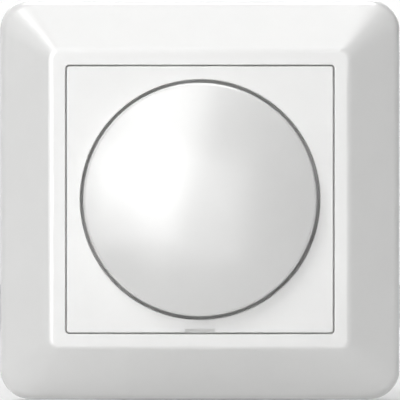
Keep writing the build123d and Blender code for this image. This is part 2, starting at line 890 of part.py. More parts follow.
# Switch case: the plunger's chamber in front of a bridge, and the contacts' chamber behind it
switch_inner_width = switch_width - 2 * switch_wall
switch_inner_height = switch_height - 2 * switch_wall
with BuildPart() as switch_case:
    with BuildSketch(level(switch_floor)):
        Rectangle(switch_width, switch_height)
    extrude(amount=board_back - switch_floor)
    with BuildSketch(level(bridge_front)):
        Rectangle(switch_inner_width, switch_inner_height)
    extrude(amount=switch_plunger_room, mode=Mode.SUBTRACT)
    with BuildSketch(level(switch_floor)):
        Rectangle(switch_inner_width, switch_inner_height)
    extrude(amount=switch_contact_room, mode=Mode.SUBTRACT)
    with BuildSketch(level(bridge_back)):
        Circle(plunger_stem_diameter / 2 + stem_hole_clearance)
    extrude(amount=switch_bridge_thickness, mode=Mode.SUBTRACT)
    with BuildSketch(level(switch_floor)):
        Rectangle(
            switch_width, contact_strip_width + 2 * contact_leg_gap, mode=Mode.ADD
        )
        with Locations((0, switch_height / 2)):
            Rectangle(fulcrum_foot + 2 * contact_leg_gap, 2 * switch_wall)
    extrude(amount=contact_strip_thickness + contact_leg_gap, mode=Mode.SUBTRACT)

switch_case.part.label = "switch_case"
export_step(switch_case.part, "parts/switch_case.step")

with BuildPart() as switch_floor_plate:
    with BuildSketch(level(switch_back)):
        Rectangle(switch_width, switch_height)
    extrude(amount=switch_floor_thickness)

switch_floor_plate.part.label = "switch_floor_plate"
export_step(switch_floor_plate.part, "parts/switch_floor_plate.step")

# Switch plunger: a cup on the shaft's end, a flange for the spring and a stem through the bridge
with BuildPart() as switch_plunger:
    with BuildSketch(level(plunger_back)):
        Circle(switch_inner_height / 2 - plunger_clearance)
    extrude(amount=plunger_flange_thickness)
    with BuildSketch(level(shaft_bottom)):
        Circle(shaft_radius + plunger_cup_clearance + plunger_cup_wall)
        Circle(shaft_radius + plunger_cup_clearance, mode=Mode.SUBTRACT)
    extrude(amount=plunger_cup_depth)
    with BuildSketch(level(plunger_back - plunger_stem_length)):
        Circle(plunger_stem_diameter / 2)
    extrude(amount=plunger_stem_length)

switch_plunger.part.label = "switch_plunger"
export_step(switch_plunger.part, "parts/switch_plunger.step")

# Plunger spring: a coil between the bridge and the plunger's flange
coil_height = plunger_back - bridge_front - spring_wire
with BuildPart() as plunger_spring:
    with BuildLine() as coil:
        Helix(
            pitch=coil_height / spring_turns,
            height=coil_height,
            radius=spring_radius,
            center=(0, -bridge_front - spring_wire / 2, 0),
            direction=(0, -1, 0),
        )
    with BuildSketch(Plane(origin=coil.line @ 0, z_dir=coil.line % 0)):
        Circle(spring_wire / 2)
    sweep(is_frenet=True)

plunger_spring.part.label = "plunger_spring"
export_step(plunger_spring.part, "parts/plunger_spring.step")

# Contact rocker: the tilting bridge piece with a button at each end, resting with one end down
rocker_plane = level(rocker_level).rotated((0, 0, rocker_tilt))
with BuildPart() as contact_rocker:
    with BuildSketch(rocker_plane):
        Rectangle(rocker_length, rocker_width)
    extrude(amount=rocker_thickness / 2, both=True)
    with BuildSketch(rocker_plane.offset(-rocker_thickness / 2)):
        with Locations((rocker_button_offset, 0), (-rocker_button_offset, 0)):
            Circle(rocker_button_radius)
    extrude(amount=-rocker_button_height)

contact_rocker.part.label = "contact_rocker"
export_step(contact_rocker.part, "parts/contact_rocker.step")

# Switch contacts: a strip with a button on each side, bent up to the board
strip_start = rocker_button_offset - rocker_button_radius
strip_end = leg_x + contact_strip_thickness / 2
with BuildPart() as switch_contacts:
    with BuildSketch(level(switch_floor)):
        with Locations(
            ((strip_start + strip_end) / 2, 0), (-(strip_start + strip_end) / 2, 0)
        ):
            Rectangle(strip_end - strip_start, contact_strip_width)
    extrude(amount=contact_strip_thickness)
    with BuildSketch(level(switch_floor)):
        with Locations((rocker_button_offset, 0), (-rocker_button_offset, 0)):
            Circle(rocker_button_radius)
    extrude(amount=contact_height)
    with BuildSketch(level(switch_floor)):
        with Locations((leg_x, 0), (-leg_x, 0)):
            Rectangle(contact_strip_thickness, contact_strip_width)
    extrude(amount=board_front - switch_floor)

switch_contacts.part.label = "switch_contacts"
export_step(switch_contacts.part, "parts/switch_contacts.step")

# Rocker fulcrum: the middle contact, with the edge that the rocker tilts on
foot_start = -rocker_width / 2
foot_end = leg_z + contact_strip_thickness / 2
with BuildPart() as rocker_fulcrum:
    with BuildSketch(level(switch_floor)):
        with Locations((0, (foot_start + foot_end) / 2)):
            Rectangle(fulcrum_foot, foot_end - foot_start)
    extrude(amount=contact_strip_thickness)
    with BuildSketch(level(switch_floor)):
        Rectangle(fulcrum_edge, rocker_width)
    extrude(amount=fulcrum_top - switch_floor)
    with BuildSketch(level(switch_floor)):
        with Locations((0, leg_z)):
            Rectangle(fulcrum_foot, contact_strip_thickness)
    extrude(amount=board_front - switch_floor)

rocker_fulcrum.part.label = "rocker_fulcrum"
export_step(rocker_fulcrum.part, "parts/rocker_fulcrum.step")

# Triac: its tab is screwed to the back of the support plate, through an insulating pad
with BuildPart() as triac:
    with BuildSketch(level(-pad_thickness)):
        with Locations((0, triac_z)):
            Rectangle(triac_length, triac_width)
        with Locations((triac_hole_x, triac_z)):
            Circle(triac_hole_diameter / 2, mode=Mode.SUBTRACT)
    extrude(amount=-triac_tab_thickness)
    with BuildSketch(level(tab_back)):
        with Locations((triac_length / 2, triac_z)):
            Rectangle(
                triac_body_length, triac_width, align=(Align.MAX, Align.CENTER)
            )
    extrude(amount=-triac_body_thickness)
    lead_planes = [
        Plane.XY.offset(z - triac_lead_width / 2) for z in triac_lead_places
    ]
    with BuildSketch(*lead_planes):
        lead_outer_x = triac_lead_x + triac_lead_thickness / 2
        lead_inner_x = triac_lead_x - triac_lead_thickness / 2
        lead_front_y = -tab_back + triac_lead_drop
        lead_back_y = lead_front_y + triac_lead_thickness
        lead_end_y = -board_back + lead_overhang
        with BuildLine():
            Polyline(
                (triac_length / 2 - triac_lead_thickness, lead_front_y),
                (lead_outer_x, lead_front_y),
                (lead_outer_x, lead_end_y),
                (lead_inner_x, lead_end_y),
                (lead_inner_x, lead_back_y),
                (triac_length / 2 - triac_lead_thickness, lead_back_y),
                close=True,
            )
        make_face()
    extrude(amount=triac_lead_width)

triac.part.label = "triac"
export_step(triac.part, "parts/triac.step")

with BuildPart() as triac_pad:
    with BuildSketch(level(0)):
        with Locations((0, triac_z)):
            Rectangle(triac_length + 2 * pad_margin, triac_width + 2 * pad_margin)
        with Locations((triac_hole_x, triac_z)):
            Circle(m3_diameter / 2 + claw_screw_clearance, mode=Mode.SUBTRACT)
    extrude(amount=-pad_thickness)

triac_pad.part.label = "triac_pad"
export_step(triac_pad.part, "parts/triac_pad.step")

triac_screw = slotted_screws(
    level(support_thickness),
    [(triac_hole_x, triac_z)],
    m3_diameter,
    triac_screw_length,
    claw_head_diameter,
    screw_head_height,
)
triac_screw.part.label = "triac_screw"
export_step(triac_screw.part, "parts/triac_screw.step")

with BuildPart() as triac_nut:
    with BuildSketch(level(tab_back)):
        with Locations((triac_hole_x, triac_z)):
            RegularPolygon(small_nut_across_flats / 2, 6, major_radius=False, rotation=30)
            Circle(m3_diameter / 2 + thread_clearance, mode=Mode.SUBTRACT)
    extrude(amount=-small_nut_thickness)

triac_nut.part.label = "triac_nut"
export_step(triac_nut.part, "parts/triac_nut.step")

# Choke: a ring core, and its wire as one layer with a gap on its upper side
with BuildPart() as choke_core:
    with BuildSketch(level(board_back - choke_wire)):
        with Locations((choke_x, choke_z)):
            Circle(choke_core_diameter / 2)
            Circle(choke_core_bore / 2, mode=Mode.SUBTRACT)
    extrude(amount=-choke_core_height)

choke_core.part.label = "choke_core"
export_step(choke_core.part, "parts/choke_core.step")

with BuildPart() as choke_winding:
    with BuildSketch(level(board_back)):
        with Locations((choke_x, choke_z)):
            Circle(choke_core_diameter / 2 + choke_wire)
            Circle(choke_core_bore / 2 - choke_wire, mode=Mode.SUBTRACT)
    extrude(amount=-choke_core_height - 2 * choke_wire)
    with BuildSketch(level(board_back - choke_wire)):
        with Locations((choke_x, choke_z)):
            Circle(choke_core_diameter / 2)
            Circle(choke_core_bore / 2, mode=Mode.SUBTRACT)
    extrude(amount=-choke_core_height, mode=Mode.SUBTRACT)
    with BuildSketch(level(board_back)):
        half_gap = math.radians(choke_gap_angle / 2)
        reach = choke_core_diameter
        with BuildLine():
            Polyline(
                (choke_x, choke_z),
                (choke_x + reach * math.sin(half_gap), choke_z + reach * math.cos(half_gap)),
                (choke_x - reach * math.sin(half_gap), choke_z + reach * math.cos(half_gap)),
                close=True,
            )
        make_face()
    extrude(amount=-choke_core_height - 2 * choke_wire, mode=Mode.SUBTRACT)
    with BuildSketch(level(board_back - choke_wire / 2)):
        with Locations(*choke_legs):
            Circle(choke_wire / 2)
    extrude(amount=choke_wire / 2 + board_thickness + lead_overhang)

choke_winding.part.label = "choke_winding"
export_step(choke_winding.part, "parts/choke_winding.step")

# Filter capacitor and timing capacitor: moulded boxes that stand on the board
with BuildPart() as filter_capacitor:
    with BuildSketch(level(board_back)):
        with Locations((filter_x, filter_z)):
            Rectangle(filter_width, filter_length)
    extrude(amount=-filter_height)
    fillet(filter_capacitor.faces().sort_by(Axis.Y)[-1].edges(), filter_round)
    with BuildSketch(level(board_back)):
        with Locations(*filter_legs):
            Circle(pin_diameter / 2)
    extrude(amount=board_thickness + lead_overhang)

filter_capacitor.part.label = "filter_capacitor"
export_step(filter_capacitor.part, "parts/filter_capacitor.step")

with BuildPart() as timing_capacitor:
    with BuildSketch(level(board_back)):
        with Locations((timing_x, timing_z)):
            Rectangle(timing_width, timing_thickness)
    extrude(amount=-timing_height)
    fillet(timing_capacitor.faces().sort_by(Axis.Y)[-1].edges(), timing_round)
    with BuildSketch(level(board_back)):
        with Locations(*timing_legs):
            Circle(lead_diameter / 2)
    extrude(amount=board_thickness + lead_overhang)

timing_capacitor.part.label = "timing_capacitor"
export_step(timing_capacitor.part, "parts/timing_capacitor.step")

# Fuse: a glass tube, two caps and the wire between them, held in two spring clips
fuse_place = (-fuse_level, fuse_z)
with BuildPart() as fuse_glass:
    with BuildSketch(Plane.YZ.offset(-fuse_length / 2 + fuse_cap_wall)):
        with Locations(fuse_place):
            Circle(fuse_diameter / 2 - fuse_cap_wall)
            Circle(fuse_diameter / 2 - fuse_cap_wall - fuse_glass_wall, mode=Mode.SUBTRACT)
    extrude(amount=fuse_length - 2 * fuse_cap_wall)

fuse_glass.part.label = "fuse_glass"
export_step(fuse_glass.part, "parts/fuse_glass.step")

with BuildPart() as fuse_caps:
    with BuildSketch(Plane.YZ.offset(-fuse_length / 2)):
        with Locations(fuse_place):
            Circle(fuse_diameter / 2)
    extrude(amount=fuse_length)
    with BuildSketch(Plane.YZ.offset(-fuse_length / 2 + fuse_cap_wall)):
        with Locations(fuse_place):
            Circle(fuse_diameter / 2 - fuse_cap_wall)
    extrude(amount=fuse_length - 2 * fuse_cap_wall, mode=Mode.SUBTRACT)
    with BuildSketch(Plane.YZ.offset(-fuse_length / 2 + fuse_cap_length)):
        with Locations(fuse_place):
            Circle(fuse_diameter)
    extrude(amount=fuse_length - 2 * fuse_cap_length, mode=Mode.SUBTRACT)

fuse_caps.part.label = "fuse_caps"
export_step(fuse_caps.part, "parts/fuse_caps.step")

with BuildPart() as fuse_wire:
    with BuildSketch(Plane.YZ.offset(-fuse_length / 2 + fuse_cap_wall)):
        with Locations(fuse_place):
            Circle(fuse_wire_diameter / 2)
    extrude(amount=fuse_length - 2 * fuse_cap_wall)

fuse_wire.part.label = "fuse_wire"
export_step(fuse_wire.part, "parts/fuse_wire.step")

with BuildPart() as fuse_clips:
    clip_planes = [
        Plane.YZ.offset(x - fuse_clip_width / 2) for x in (-fuse_clip_x, fuse_clip_x)
    ]
    clip_inner = fuse_diameter / 2 + fuse_clip_clearance
    with BuildSketch(*clip_planes):
        with Locations(fuse_place):
            Circle(clip_inner + fuse_clip_thickness)
        with Locations((-board_back, fuse_z)):
            Rectangle(
                fuse_stand + fuse_clip_thickness,
                fuse_clip_stem,
                align=(Align.MIN, Align.CENTER),
            )
            Rectangle(
                fuse_clip_thickness,
                fuse_diameter + 2 * fuse_clip_thickness,
                align=(Align.MIN, Align.CENTER),
            )
        with Locations(fuse_place):
            Circle(clip_inner, mode=Mode.SUBTRACT)
        with Locations((-fuse_level + fuse_clip_mouth_start, fuse_z)):
            Rectangle(
                fuse_diameter,
                2 * fuse_diameter,
                align=(Align.MIN, Align.CENTER),
                mode=Mode.SUBTRACT,
            )
    extrude(amount=fuse_clip_width)
    with BuildSketch(level(board_back)):
        with Locations(*clip_legs):
            Circle(pin_diameter / 2)
    extrude(amount=board_thickness + lead_overhang)

fuse_clips.part.label = "fuse_clips"
export_step(fuse_clips.part, "parts/fuse_clips.step")

# Resistors and the diac lie along X on the board's front
with BuildPart() as resistors:
    with Locations(*[(x, -resistor_level, z) for x, z in resistor_places]):
        Cylinder(resistor_diameter / 2, resistor_length, rotation=(0, 90, 0))
        Cylinder(lead_diameter / 2, resistor_lead_span, rotation=(0, 90, 0))
    with BuildSketch(level(board_back - lead_overhang)):
        with Locations(*resistor_legs):
            Circle(lead_diameter / 2)
    extrude(amount=resistor_level - board_back + lead_overhang)

resistors.part.label = "resistors"
export_step(resistors.part, "parts/resistors.step")

with BuildPart() as diac:
    with Locations((diac_x, -diac_level, diac_z)):
        Cylinder(diac_diameter / 2, diac_length, rotation=(0, 90, 0))
        Cylinder(lead_diameter / 2, diac_lead_span, rotation=(0, 90, 0))
    with BuildSketch(level(board_back - lead_overhang)):
        with Locations(*diac_legs):
            Circle(lead_diameter / 2)
    extrude(amount=diac_level - board_back + lead_overhang)

diac.part.label = "diac"
export_step(diac.part, "parts/diac.step")

# Housing: a tube with four stepped bosses, a terminal block inside and an ear on each side
with BuildPart() as housing:
    with BuildSketch(level(rear_cover_front)):
        Rectangle(housing_width, housing_height)
        Circle(housing_circle / 2, mode=Mode.INTERSECT)
    extrude(amount=housing_depth)
    with BuildSketch(level(rear_cover_front)):
        Rectangle(housing_width - 2 * housing_wall, housing_height - 2 * housing_wall)
        Circle(housing_circle / 2 - housing_wall, mode=Mode.INTERSECT)
    extrude(amount=housing_depth, mode=Mode.SUBTRACT)
    with BuildSketch(level(rear_cover_front)):
        with GridLocations(2 * boss_x, 2 * boss_z, 2, 2):
            Circle(boss_diameter / 2)
        with Locations((0, -housing_inner_z)):
            Rectangle(block_width, 2 * (block_top_z + housing_inner_z))
        Rectangle(housing_width, housing_height, mode=Mode.INTERSECT)
        Circle(housing_circle / 2, mode=Mode.INTERSECT)
    extrude(amount=board_back - rear_cover_front)
    with BuildSketch(level(block_front)):
        with Locations((0, -housing_inner_z)):
            Rectangle(
                block_width,
                block_top_z + housing_inner_z,
                align=(Align.CENTER, Align.MIN),
            )
    extrude(amount=board_back - block_front, mode=Mode.SUBTRACT)
    with BuildSketch(level(board_back)):
        with GridLocations(2 * boss_x, 2 * boss_z, 2, 2):
            Circle(boss_pin_diameter / 2)
    extrude(amount=-board_back)
    with BuildSketch(level(rear_cover_front)):
        with Locations(*[(x, pocket_bottom_z) for x in terminal_places]):
            Rectangle(
                pocket_width,
                pocket_top_z - pocket_bottom_z,
                align=(Align.CENTER, Align.MIN),
            )
    extrude(amount=pocket_front - rear_cover_front, mode=Mode.SUBTRACT)
    with BuildSketch(level(rear_cover_front)):
        with Locations(*[(x, -housing_inner_z) for x in terminal_places]):
            Rectangle(
                terminal_head_diameter + 2 * terminal_head_gap,
                head_top_z + terminal_head_gap + housing_inner_z,
                align=(Align.CENTER, Align.MIN),
            )
    head_reach = terminal_level + terminal_head_diameter / 2 + terminal_head_gap
    extrude(amount=head_reach - rear_cover_front, mode=Mode.SUBTRACT)
    with BuildSketch(level(rear_cover_front)):
        with Locations(*[(x, head_top_z) for x in terminal_places]):
            Rectangle(
                m3_diameter + 2 * claw_screw_clearance,
                pocket_bottom_z - head_top_z + terminal_head_gap,
                align=(Align.CENTER, Align.MIN),
            )
    shank_reach = terminal_level + m3_diameter / 2 + claw_screw_clearance
    extrude(amount=shank_reach - rear_cover_front, mode=Mode.SUBTRACT)
    with BuildSketch(level(pocket_front)):
        with Locations(*[(x, bar_middle_z) for x in terminal_places]):
            Rectangle(
                bar_width + 2 * bar_slot_clearance, bar_thickness + 2 * bar_slot_clearance
            )
    extrude(amount=block_front_wall, mode=Mode.SUBTRACT)
    with BuildSketch(Plane.XY.offset(-housing_height / 2)):
        with Locations(*[(x, -terminal_level) for x in terminal_places]):
            Circle(driver_hole_diameter / 2)
    extrude(amount=housing_wall, mode=Mode.SUBTRACT)
    with BuildSketch(level(ear_level - ear_thickness)):
        for side in (-1, 1):
            with Locations((side * (housing_width / 2 - housing_wall / 2 + ear_reach / 2), 0)):
                Rectangle(ear_reach, ear_height)
        with Locations((claw_screw_x, 0), (-claw_screw_x, 0)):
            Circle(claw_screw_diameter / 2 + claw_screw_clearance, mode=Mode.SUBTRACT)
    extrude(amount=ear_thickness)
    with BuildSketch(level(0)):
        with GridLocations(2 * boss_x, 2 * boss_z, 2, 2):
            Circle(housing_screw_diameter / 2 + thread_clearance)
    extrude(
        amount=support_thickness - housing_screw_length - pilot_depth_clearance,
        mode=Mode.SUBTRACT,
    )
    with BuildSketch(level(rear_cover_front)):
        with GridLocations(2 * boss_x, 2 * boss_z, 2, 2):
            Circle(housing_screw_diameter / 2 + thread_clearance)
    extrude(
        amount=cover_screw_length - rear_cover_thickness + pilot_depth_clearance,
        mode=Mode.SUBTRACT,
    )

housing.part.label = "housing"
export_step(housing.part, "parts/housing.step")

with BuildPart() as rear_cover:
    with BuildSketch(level(rear_cover_front)):
        Rectangle(housing_width, housing_height)
        Circle(housing_circle / 2, mode=Mode.INTERSECT)
    extrude(amount=-rear_cover_thickness)
    fillet(rear_cover.faces().sort_by(Axis.Y)[-1].edges(), rear_cover_edge_round)
    with BuildSketch(level(rear_cover_front)):
        with GridLocations(2 * boss_x, 2 * boss_z, 2, 2):
            Circle(housing_screw_diameter / 2 + claw_screw_clearance)
        with Locations(*[(x, wire_z) for x in terminal_places]):
            Circle(wire_hole_diameter / 2)
        with Locations((0, vent_z)):
            with GridLocations(0, vent_pitch, 1, vent_count):
                SlotOverall(vent_length, vent_width)
    extrude(amount=-rear_cover_thickness, mode=Mode.SUBTRACT)

rear_cover.part.label = "rear_cover"
export_step(rear_cover.part, "parts/rear_cover.step")

boss_places = [(x, z) for x in (-boss_x, boss_x) for z in (-boss_z, boss_z)]
housing_screws = slotted_screws(
    level(support_thickness),
    boss_places,
    housing_screw_diameter,
    housing_screw_length,
    housing_screw_head,
    screw_head_height,
)
housing_screws.part.label = "housing_screws"
export_step(housing_screws.part, "parts/housing_screws.step")

cover_back_plane = Plane(
    origin=(0, housing_depth + rear_cover_thickness, 0), x_dir=(1, 0, 0), z_dir=(0, 1, 0)
)
cover_screws = slotted_screws(
    cover_back_plane,
    boss_places,
    housing_screw_diameter,
    cover_screw_length,
    housing_screw_head,
    cover_screw_head_height,
)
cover_screws.part.label = "cover_screws"
export_step(cover_screws.part, "parts/cover_screws.step")

# Terminals: a fixed bar, a screw held in the housing and a clamp that the screw draws down
with BuildPart() as terminal_bars:
    with BuildSketch(level(rear_cover_front + bar_end_gap)):
        with Locations(*[(x, bar_middle_z) for x in terminal_places]):
            Rectangle(bar_width, bar_thickness)
    extrude(amount=board_front + lead_overhang - rear_cover_front - bar_end_gap)

terminal_bars.part.label = "terminal_bars"
export_step(terminal_bars.part, "parts/terminal_bars.step")

head_plane = Plane(origin=(0, 0, head_top_z), x_dir=(1, 0, 0), z_dir=(0, 0, -1))
for number, place in enumerate(terminal_places, start=1):
    terminal_screw = slotted_screws(
        head_plane,
        [(place, terminal_level)],
        m3_diameter,
        terminal_bar_z - head_top_z,
        terminal_head_diameter,
        terminal_head_height,
    )
    terminal_screw.part.label = f"terminal_screw_{number}"
    export_step(terminal_screw.part, f"parts/terminal_screw_{number}.step")

    with BuildPart() as terminal_clamp:
        with BuildSketch(level(clamp_front - clamp_depth)):
            with Locations((place, clamp_bottom_z)):
                Rectangle(
                    clamp_width,
                    clamp_top_z - clamp_bottom_z,
                    align=(Align.CENTER, Align.MIN),
                )
            with Locations((place, clamp_nut_top_z)):
                Rectangle(
                    clamp_width - 2 * clamp_side_wall,
                    jaw_z - clamp_nut_top_z,
                    align=(Align.CENTER, Align.MIN),
                    mode=Mode.SUBTRACT,
                )
        extrude(amount=clamp_depth)
        with BuildSketch(Plane.XY.offset(clamp_bottom_z)):
            with Locations((place, -terminal_level)):
                Circle(m3_diameter / 2 + thread_clearance)
        extrude(amount=clamp_nut_wall, mode=Mode.SUBTRACT)
    terminal_clamp.part.label = f"terminal_clamp_{number}"
    export_step(terminal_clamp.part, f"parts/terminal_clamp_{number}.step")

# Claws: each has a screw, a nut block that rides on it and a bent claw hinged on the nut block
with BuildPart() as claw_nut_right:
    with BuildSketch(level(claw_nut_level - claw_nut_length / 2)):
        with Locations((claw_screw_x, 0)):
            Rectangle(claw_nut_width, claw_nut_height)
            Circle(claw_screw_diameter / 2 + thread_clearance, mode=Mode.SUBTRACT)
    extrude(amount=claw_nut_length)
    for end in (-1, 1):
        with BuildSketch(Plane.XY.offset(end * claw_nut_height / 2)):
            with Locations((claw_screw_x, -claw_nut_level)):
                Circle(trunnion_diameter / 2)
        extrude(amount=end * trunnion_length)

claw_nut_right.part.label = "claw_nut_right"
export_step(claw_nut_right.part, "parts/claw_nut_right.step")

with BuildPart() as claw_right:
    with BuildSketch(
        Plane.XY.offset(cheek_inner_z), Plane.XY.offset(-cheek_outer_z)
    ):
        with Locations((claw_screw_x, -claw_nut_level)):
            Circle(claw_eye_radius)
        with BuildLine():
            Polyline(
                (claw_screw_x, -claw_nut_level + claw_eye_radius),
                (web_outer_x, -claw_nut_level - claw_web_start),
                (web_outer_x, -claw_nut_level - claw_reach / 2),
                (claw_screw_x, -claw_nut_level - claw_eye_radius),
                close=True,
            )
        make_face()
        with Locations((claw_screw_x, -claw_nut_level)):
            Circle(trunnion_diameter / 2 + trunnion_clearance, mode=Mode.SUBTRACT)
    extrude(amount=claw_sheet)
    with BuildSketch(Plane.XY.offset(-cheek_outer_z)):
        with Locations((web_inner_x, -claw_nut_level - claw_web_start)):
            Rectangle(
                claw_sheet, claw_reach - claw_web_start, align=(Align.MIN, Align.MAX)
            )
    extrude(amount=2 * cheek_outer_z)
    tooth_width = (
        2 * cheek_outer_z - (claw_tooth_count - 1) * claw_tooth_gap
    ) / claw_tooth_count
    tooth_planes = [
        Plane.XY.offset(-cheek_outer_z + i * (tooth_width + claw_tooth_gap))
        for i in range(claw_tooth_count)
    ]
    with BuildSketch(*tooth_planes):
        with BuildLine():
            Polyline(
                (web_outer_x, -claw_nut_level - claw_reach),
                (web_outer_x + claw_tooth, -claw_nut_level - claw_reach),
                (web_outer_x, -claw_nut_level - claw_reach + claw_tooth_length),
                close=True,
            )
        make_face()
    extrude(amount=tooth_width)

claw_right.part.label = "claw_right"
export_step(claw_right.part, "parts/claw_right.step")

with BuildPart() as claw_nut_left:
    mirror(claw_nut_right.part, about=Plane.YZ)

claw_nut_left.part.label = "claw_nut_left"
export_step(claw_nut_left.part, "parts/claw_nut_left.step")

with BuildPart() as claw_left:
    mirror(claw_right.part, about=Plane.YZ)

claw_left.part.label = "claw_left"
export_step(claw_left.part, "parts/claw_left.step")

for side_name, place in (("left", -claw_screw_x), ("right", claw_screw_x)):
    claw_screw = slotted_screws(
        level(support_thickness),
        [(place, 0)],
        claw_screw_diameter,
        claw_screw_length,
        claw_head_diameter,
        screw_head_height,
    )
    claw_screw.part.label = f"claw_screw_{side_name}"
    export_step(claw_screw.part, f"parts/claw_screw_{side_name}.step")
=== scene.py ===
"""A rotary dimmer for a wall box, dressed for rendering and moving with its mechanism."""

import json
import math

import bmesh
import bpy
from bpy.props import FloatProperty, FloatVectorProperty, PointerProperty
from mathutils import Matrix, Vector


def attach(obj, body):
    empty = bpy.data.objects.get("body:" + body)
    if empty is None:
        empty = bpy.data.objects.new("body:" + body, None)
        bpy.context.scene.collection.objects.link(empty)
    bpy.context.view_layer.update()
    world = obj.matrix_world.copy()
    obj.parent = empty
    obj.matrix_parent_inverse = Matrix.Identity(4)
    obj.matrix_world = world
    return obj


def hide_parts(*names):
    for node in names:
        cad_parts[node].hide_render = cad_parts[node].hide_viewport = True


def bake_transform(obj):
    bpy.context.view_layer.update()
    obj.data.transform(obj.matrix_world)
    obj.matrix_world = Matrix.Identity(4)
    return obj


bl_info = {
    "name": "Rotary Dimmer",
    "version": (1, 0, 0),
    "blender": (4, 5, 0),
    "location": "View3D > Sidebar > Dimmer",
    "description": "Dresses a rotary dimmer and sets its studio",
    "category": "Object",
}

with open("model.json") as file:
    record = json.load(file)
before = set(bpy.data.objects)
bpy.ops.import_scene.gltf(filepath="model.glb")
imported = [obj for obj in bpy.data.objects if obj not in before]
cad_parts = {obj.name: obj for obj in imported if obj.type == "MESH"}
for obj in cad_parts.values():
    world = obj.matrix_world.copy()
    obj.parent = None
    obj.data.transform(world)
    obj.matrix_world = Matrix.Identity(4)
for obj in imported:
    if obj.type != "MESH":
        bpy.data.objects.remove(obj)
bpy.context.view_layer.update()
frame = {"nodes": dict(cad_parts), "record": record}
NODES = frame["nodes"]
SLOTS = {row["node"]: row["material_slot"] for row in frame["record"]["subparts"]}
MM = 0.001


def hex_colour(code):
    """An sRGB hex value as linear red, green, blue and alpha."""
    channels = [int(code[i : i + 2], 16) / 255 for i in (1, 3, 5)]
    linear = [c / 12.92 if c <= 0.04045 else ((c + 0.055) / 1.055) ** 2.4 for c in channels]
    return (*linear, 1.0)


def colour_property(name, description, code):
    """A colour that a user may change, with its default written as hex."""
    return FloatVectorProperty(
        name=name,
        description=description,
        subtype="COLOR",
        size=4,
        min=0.0,
        max=1.0,
        default=hex_colour(code),
    )


def length_property(name, description, millimetres):
    """A length that a user may change, with its default in millimetres."""
    return FloatProperty(
        name=name, description=description, unit="LENGTH", default=millimetres * MM, min=0.0
    )


def share_property(name, description, value):
    """A number from 0 to 1 that a user may change."""
    return FloatProperty(name=name, description=description, default=value, min=0.0, max=1.0)


# Sizes and colours that a user may change


class StageSettings(bpy.types.PropertyGroup):
    """The camera, the lamps and the floor."""

    view_width: length_property("View width", "Width of the picture at the object", 82.23)
    camera_distance: length_property("Camera distance", "From the wall face to the camera", 2200)
    floor_colour: colour_property("Floor colour", "Colour of the pale floor", "#E4E4E4")
    ambient: FloatProperty(
        name="Ambient", description="Strength of the light from all round", default=0.04, min=0.0
    )
    lamp_level: FloatProperty(
        name="Lamp level", description="Brightness of all the lamps together", default=1.0, min=0.0
    )


class CoverSettings(bpy.types.PropertyGroup):
    """The white mouldings that face the room."""

    colour: colour_property("Cover colour", "Colour of the frame, plate and knob", "#F1F1F0")
    roughness: share_property("Gloss roughness", "How soft the reflections are", 0.25)
    specular: share_property("Gloss level", "How bright the reflections are", 0.75)
    ripple: length_property("Ripple size", "Distance between two waves of the moulded skin", 2.2)


class CaseSettings(bpy.types.PropertyGroup):
    """The dark mouldings behind the wall's face."""

    colour: colour_property("Case colour", "Colour of the housing and its cover", "#34363A")
    grain: length_property("Grain size", "Size of the fine eroded grain", 0.22)


class MetalSettings(bpy.types.PropertyGroup):
    """The plated, turned and spring metals."""

    zinc: colour_property("Zinc colour", "Colour of the plated sheet and screws", "#BFC3C6")
    zinc_tint: colour_property("Zinc tint", "Colour that the plating drifts to", "#C6C5BF")
    brass: colour_property("Brass colour", "Colour of the turned brass", "#C4A96F")
    spring: colour_property("Spring colour", "Colour of the spring steel", "#8E9195")
    aluminium: colour_property("Aluminium colour", "Colour of the shaft", "#C8CACB")
    copper: colour_property("Contact colour", "Colour of the contact springs", "#B87B57")


class CircuitSettings(bpy.types.PropertyGroup):
    """The circuit board and what is soldered to it."""

    board: colour_property("Board colour", "Colour of the board's lacquer", "#2F5B3A")
    track: colour_property("Track colour", "Colour of the copper under the lacquer", "#3D6B41")
    winding: colour_property("Winding colour", "Colour of the choke's enamelled wire", "#9A4A24")
    winding_turns: FloatProperty(
        name="Winding turns", description="Turns of wire on the choke", default=24.0, min=0.0
    )
    joint_radius: length_property("Joint radius", "Foot radius of a solder joint", 0.95)
    joint_height: length_property("Joint height", "Height of a solder joint", 0.75)


class ThreadSettings(bpy.types.PropertyGroup):
    """The screw threads."""

    pitch: length_property("Thread pitch", "Distance from one turn to the next", 0.5)
    crest: length_property("Crest height", "How far the crest stands over the shank", 0.04)


# Building blocks for the materials


def new_material(name):
    """An empty material, its node tree and its surface shader."""
    old = bpy.data.materials.get(name)
    if old:
        bpy.data.materials.remove(old)
    material = bpy.data.materials.new(name)
    material.use_nodes = True
    tree = material.node_tree
    return material, tree, tree.nodes["Principled BSDF"]


def add_node(tree, kind, settings=None, **links):
    """A node of this kind with its settings, and with sockets joined to its inputs by name."""
    node = tree.nodes.new(kind)
    for key, value in (settings or {}).items():
        if isinstance(key, int) or key in node.inputs:
            node.inputs[key].default_value = value
        else:
            setattr(node, key, value)
    for key, source in links.items():
        tree.links.new(source, node.inputs[key.replace("_", " ")])
    return node


def set_finish(shader, **values):
    """Values that are the same all over, set on the shader's own sockets."""
    for key, value in values.items():
        shader.inputs[key.replace("_", " ")].default_value = value


def place(tree, centre=(0, 0, 0), stretch=(1, 1, 1)):
    """The position on the piece in metres, from this centre in millimetres."""
    source = add_node(tree, "ShaderNodeTexCoord").outputs["Object"]
    moved = add_node(
        tree, "ShaderNodeVectorMath", {"operation": "SUBTRACT", 1: [c * MM for c in centre]}
    )
    tree.links.new(source, moved.inputs[0])
    scaled = add_node(tree, "ShaderNodeVectorMath", {"operation": "MULTIPLY", 1: stretch})
    tree.links.new(moved.outputs[0], scaled.inputs[0])
    return scaled.outputs[0]


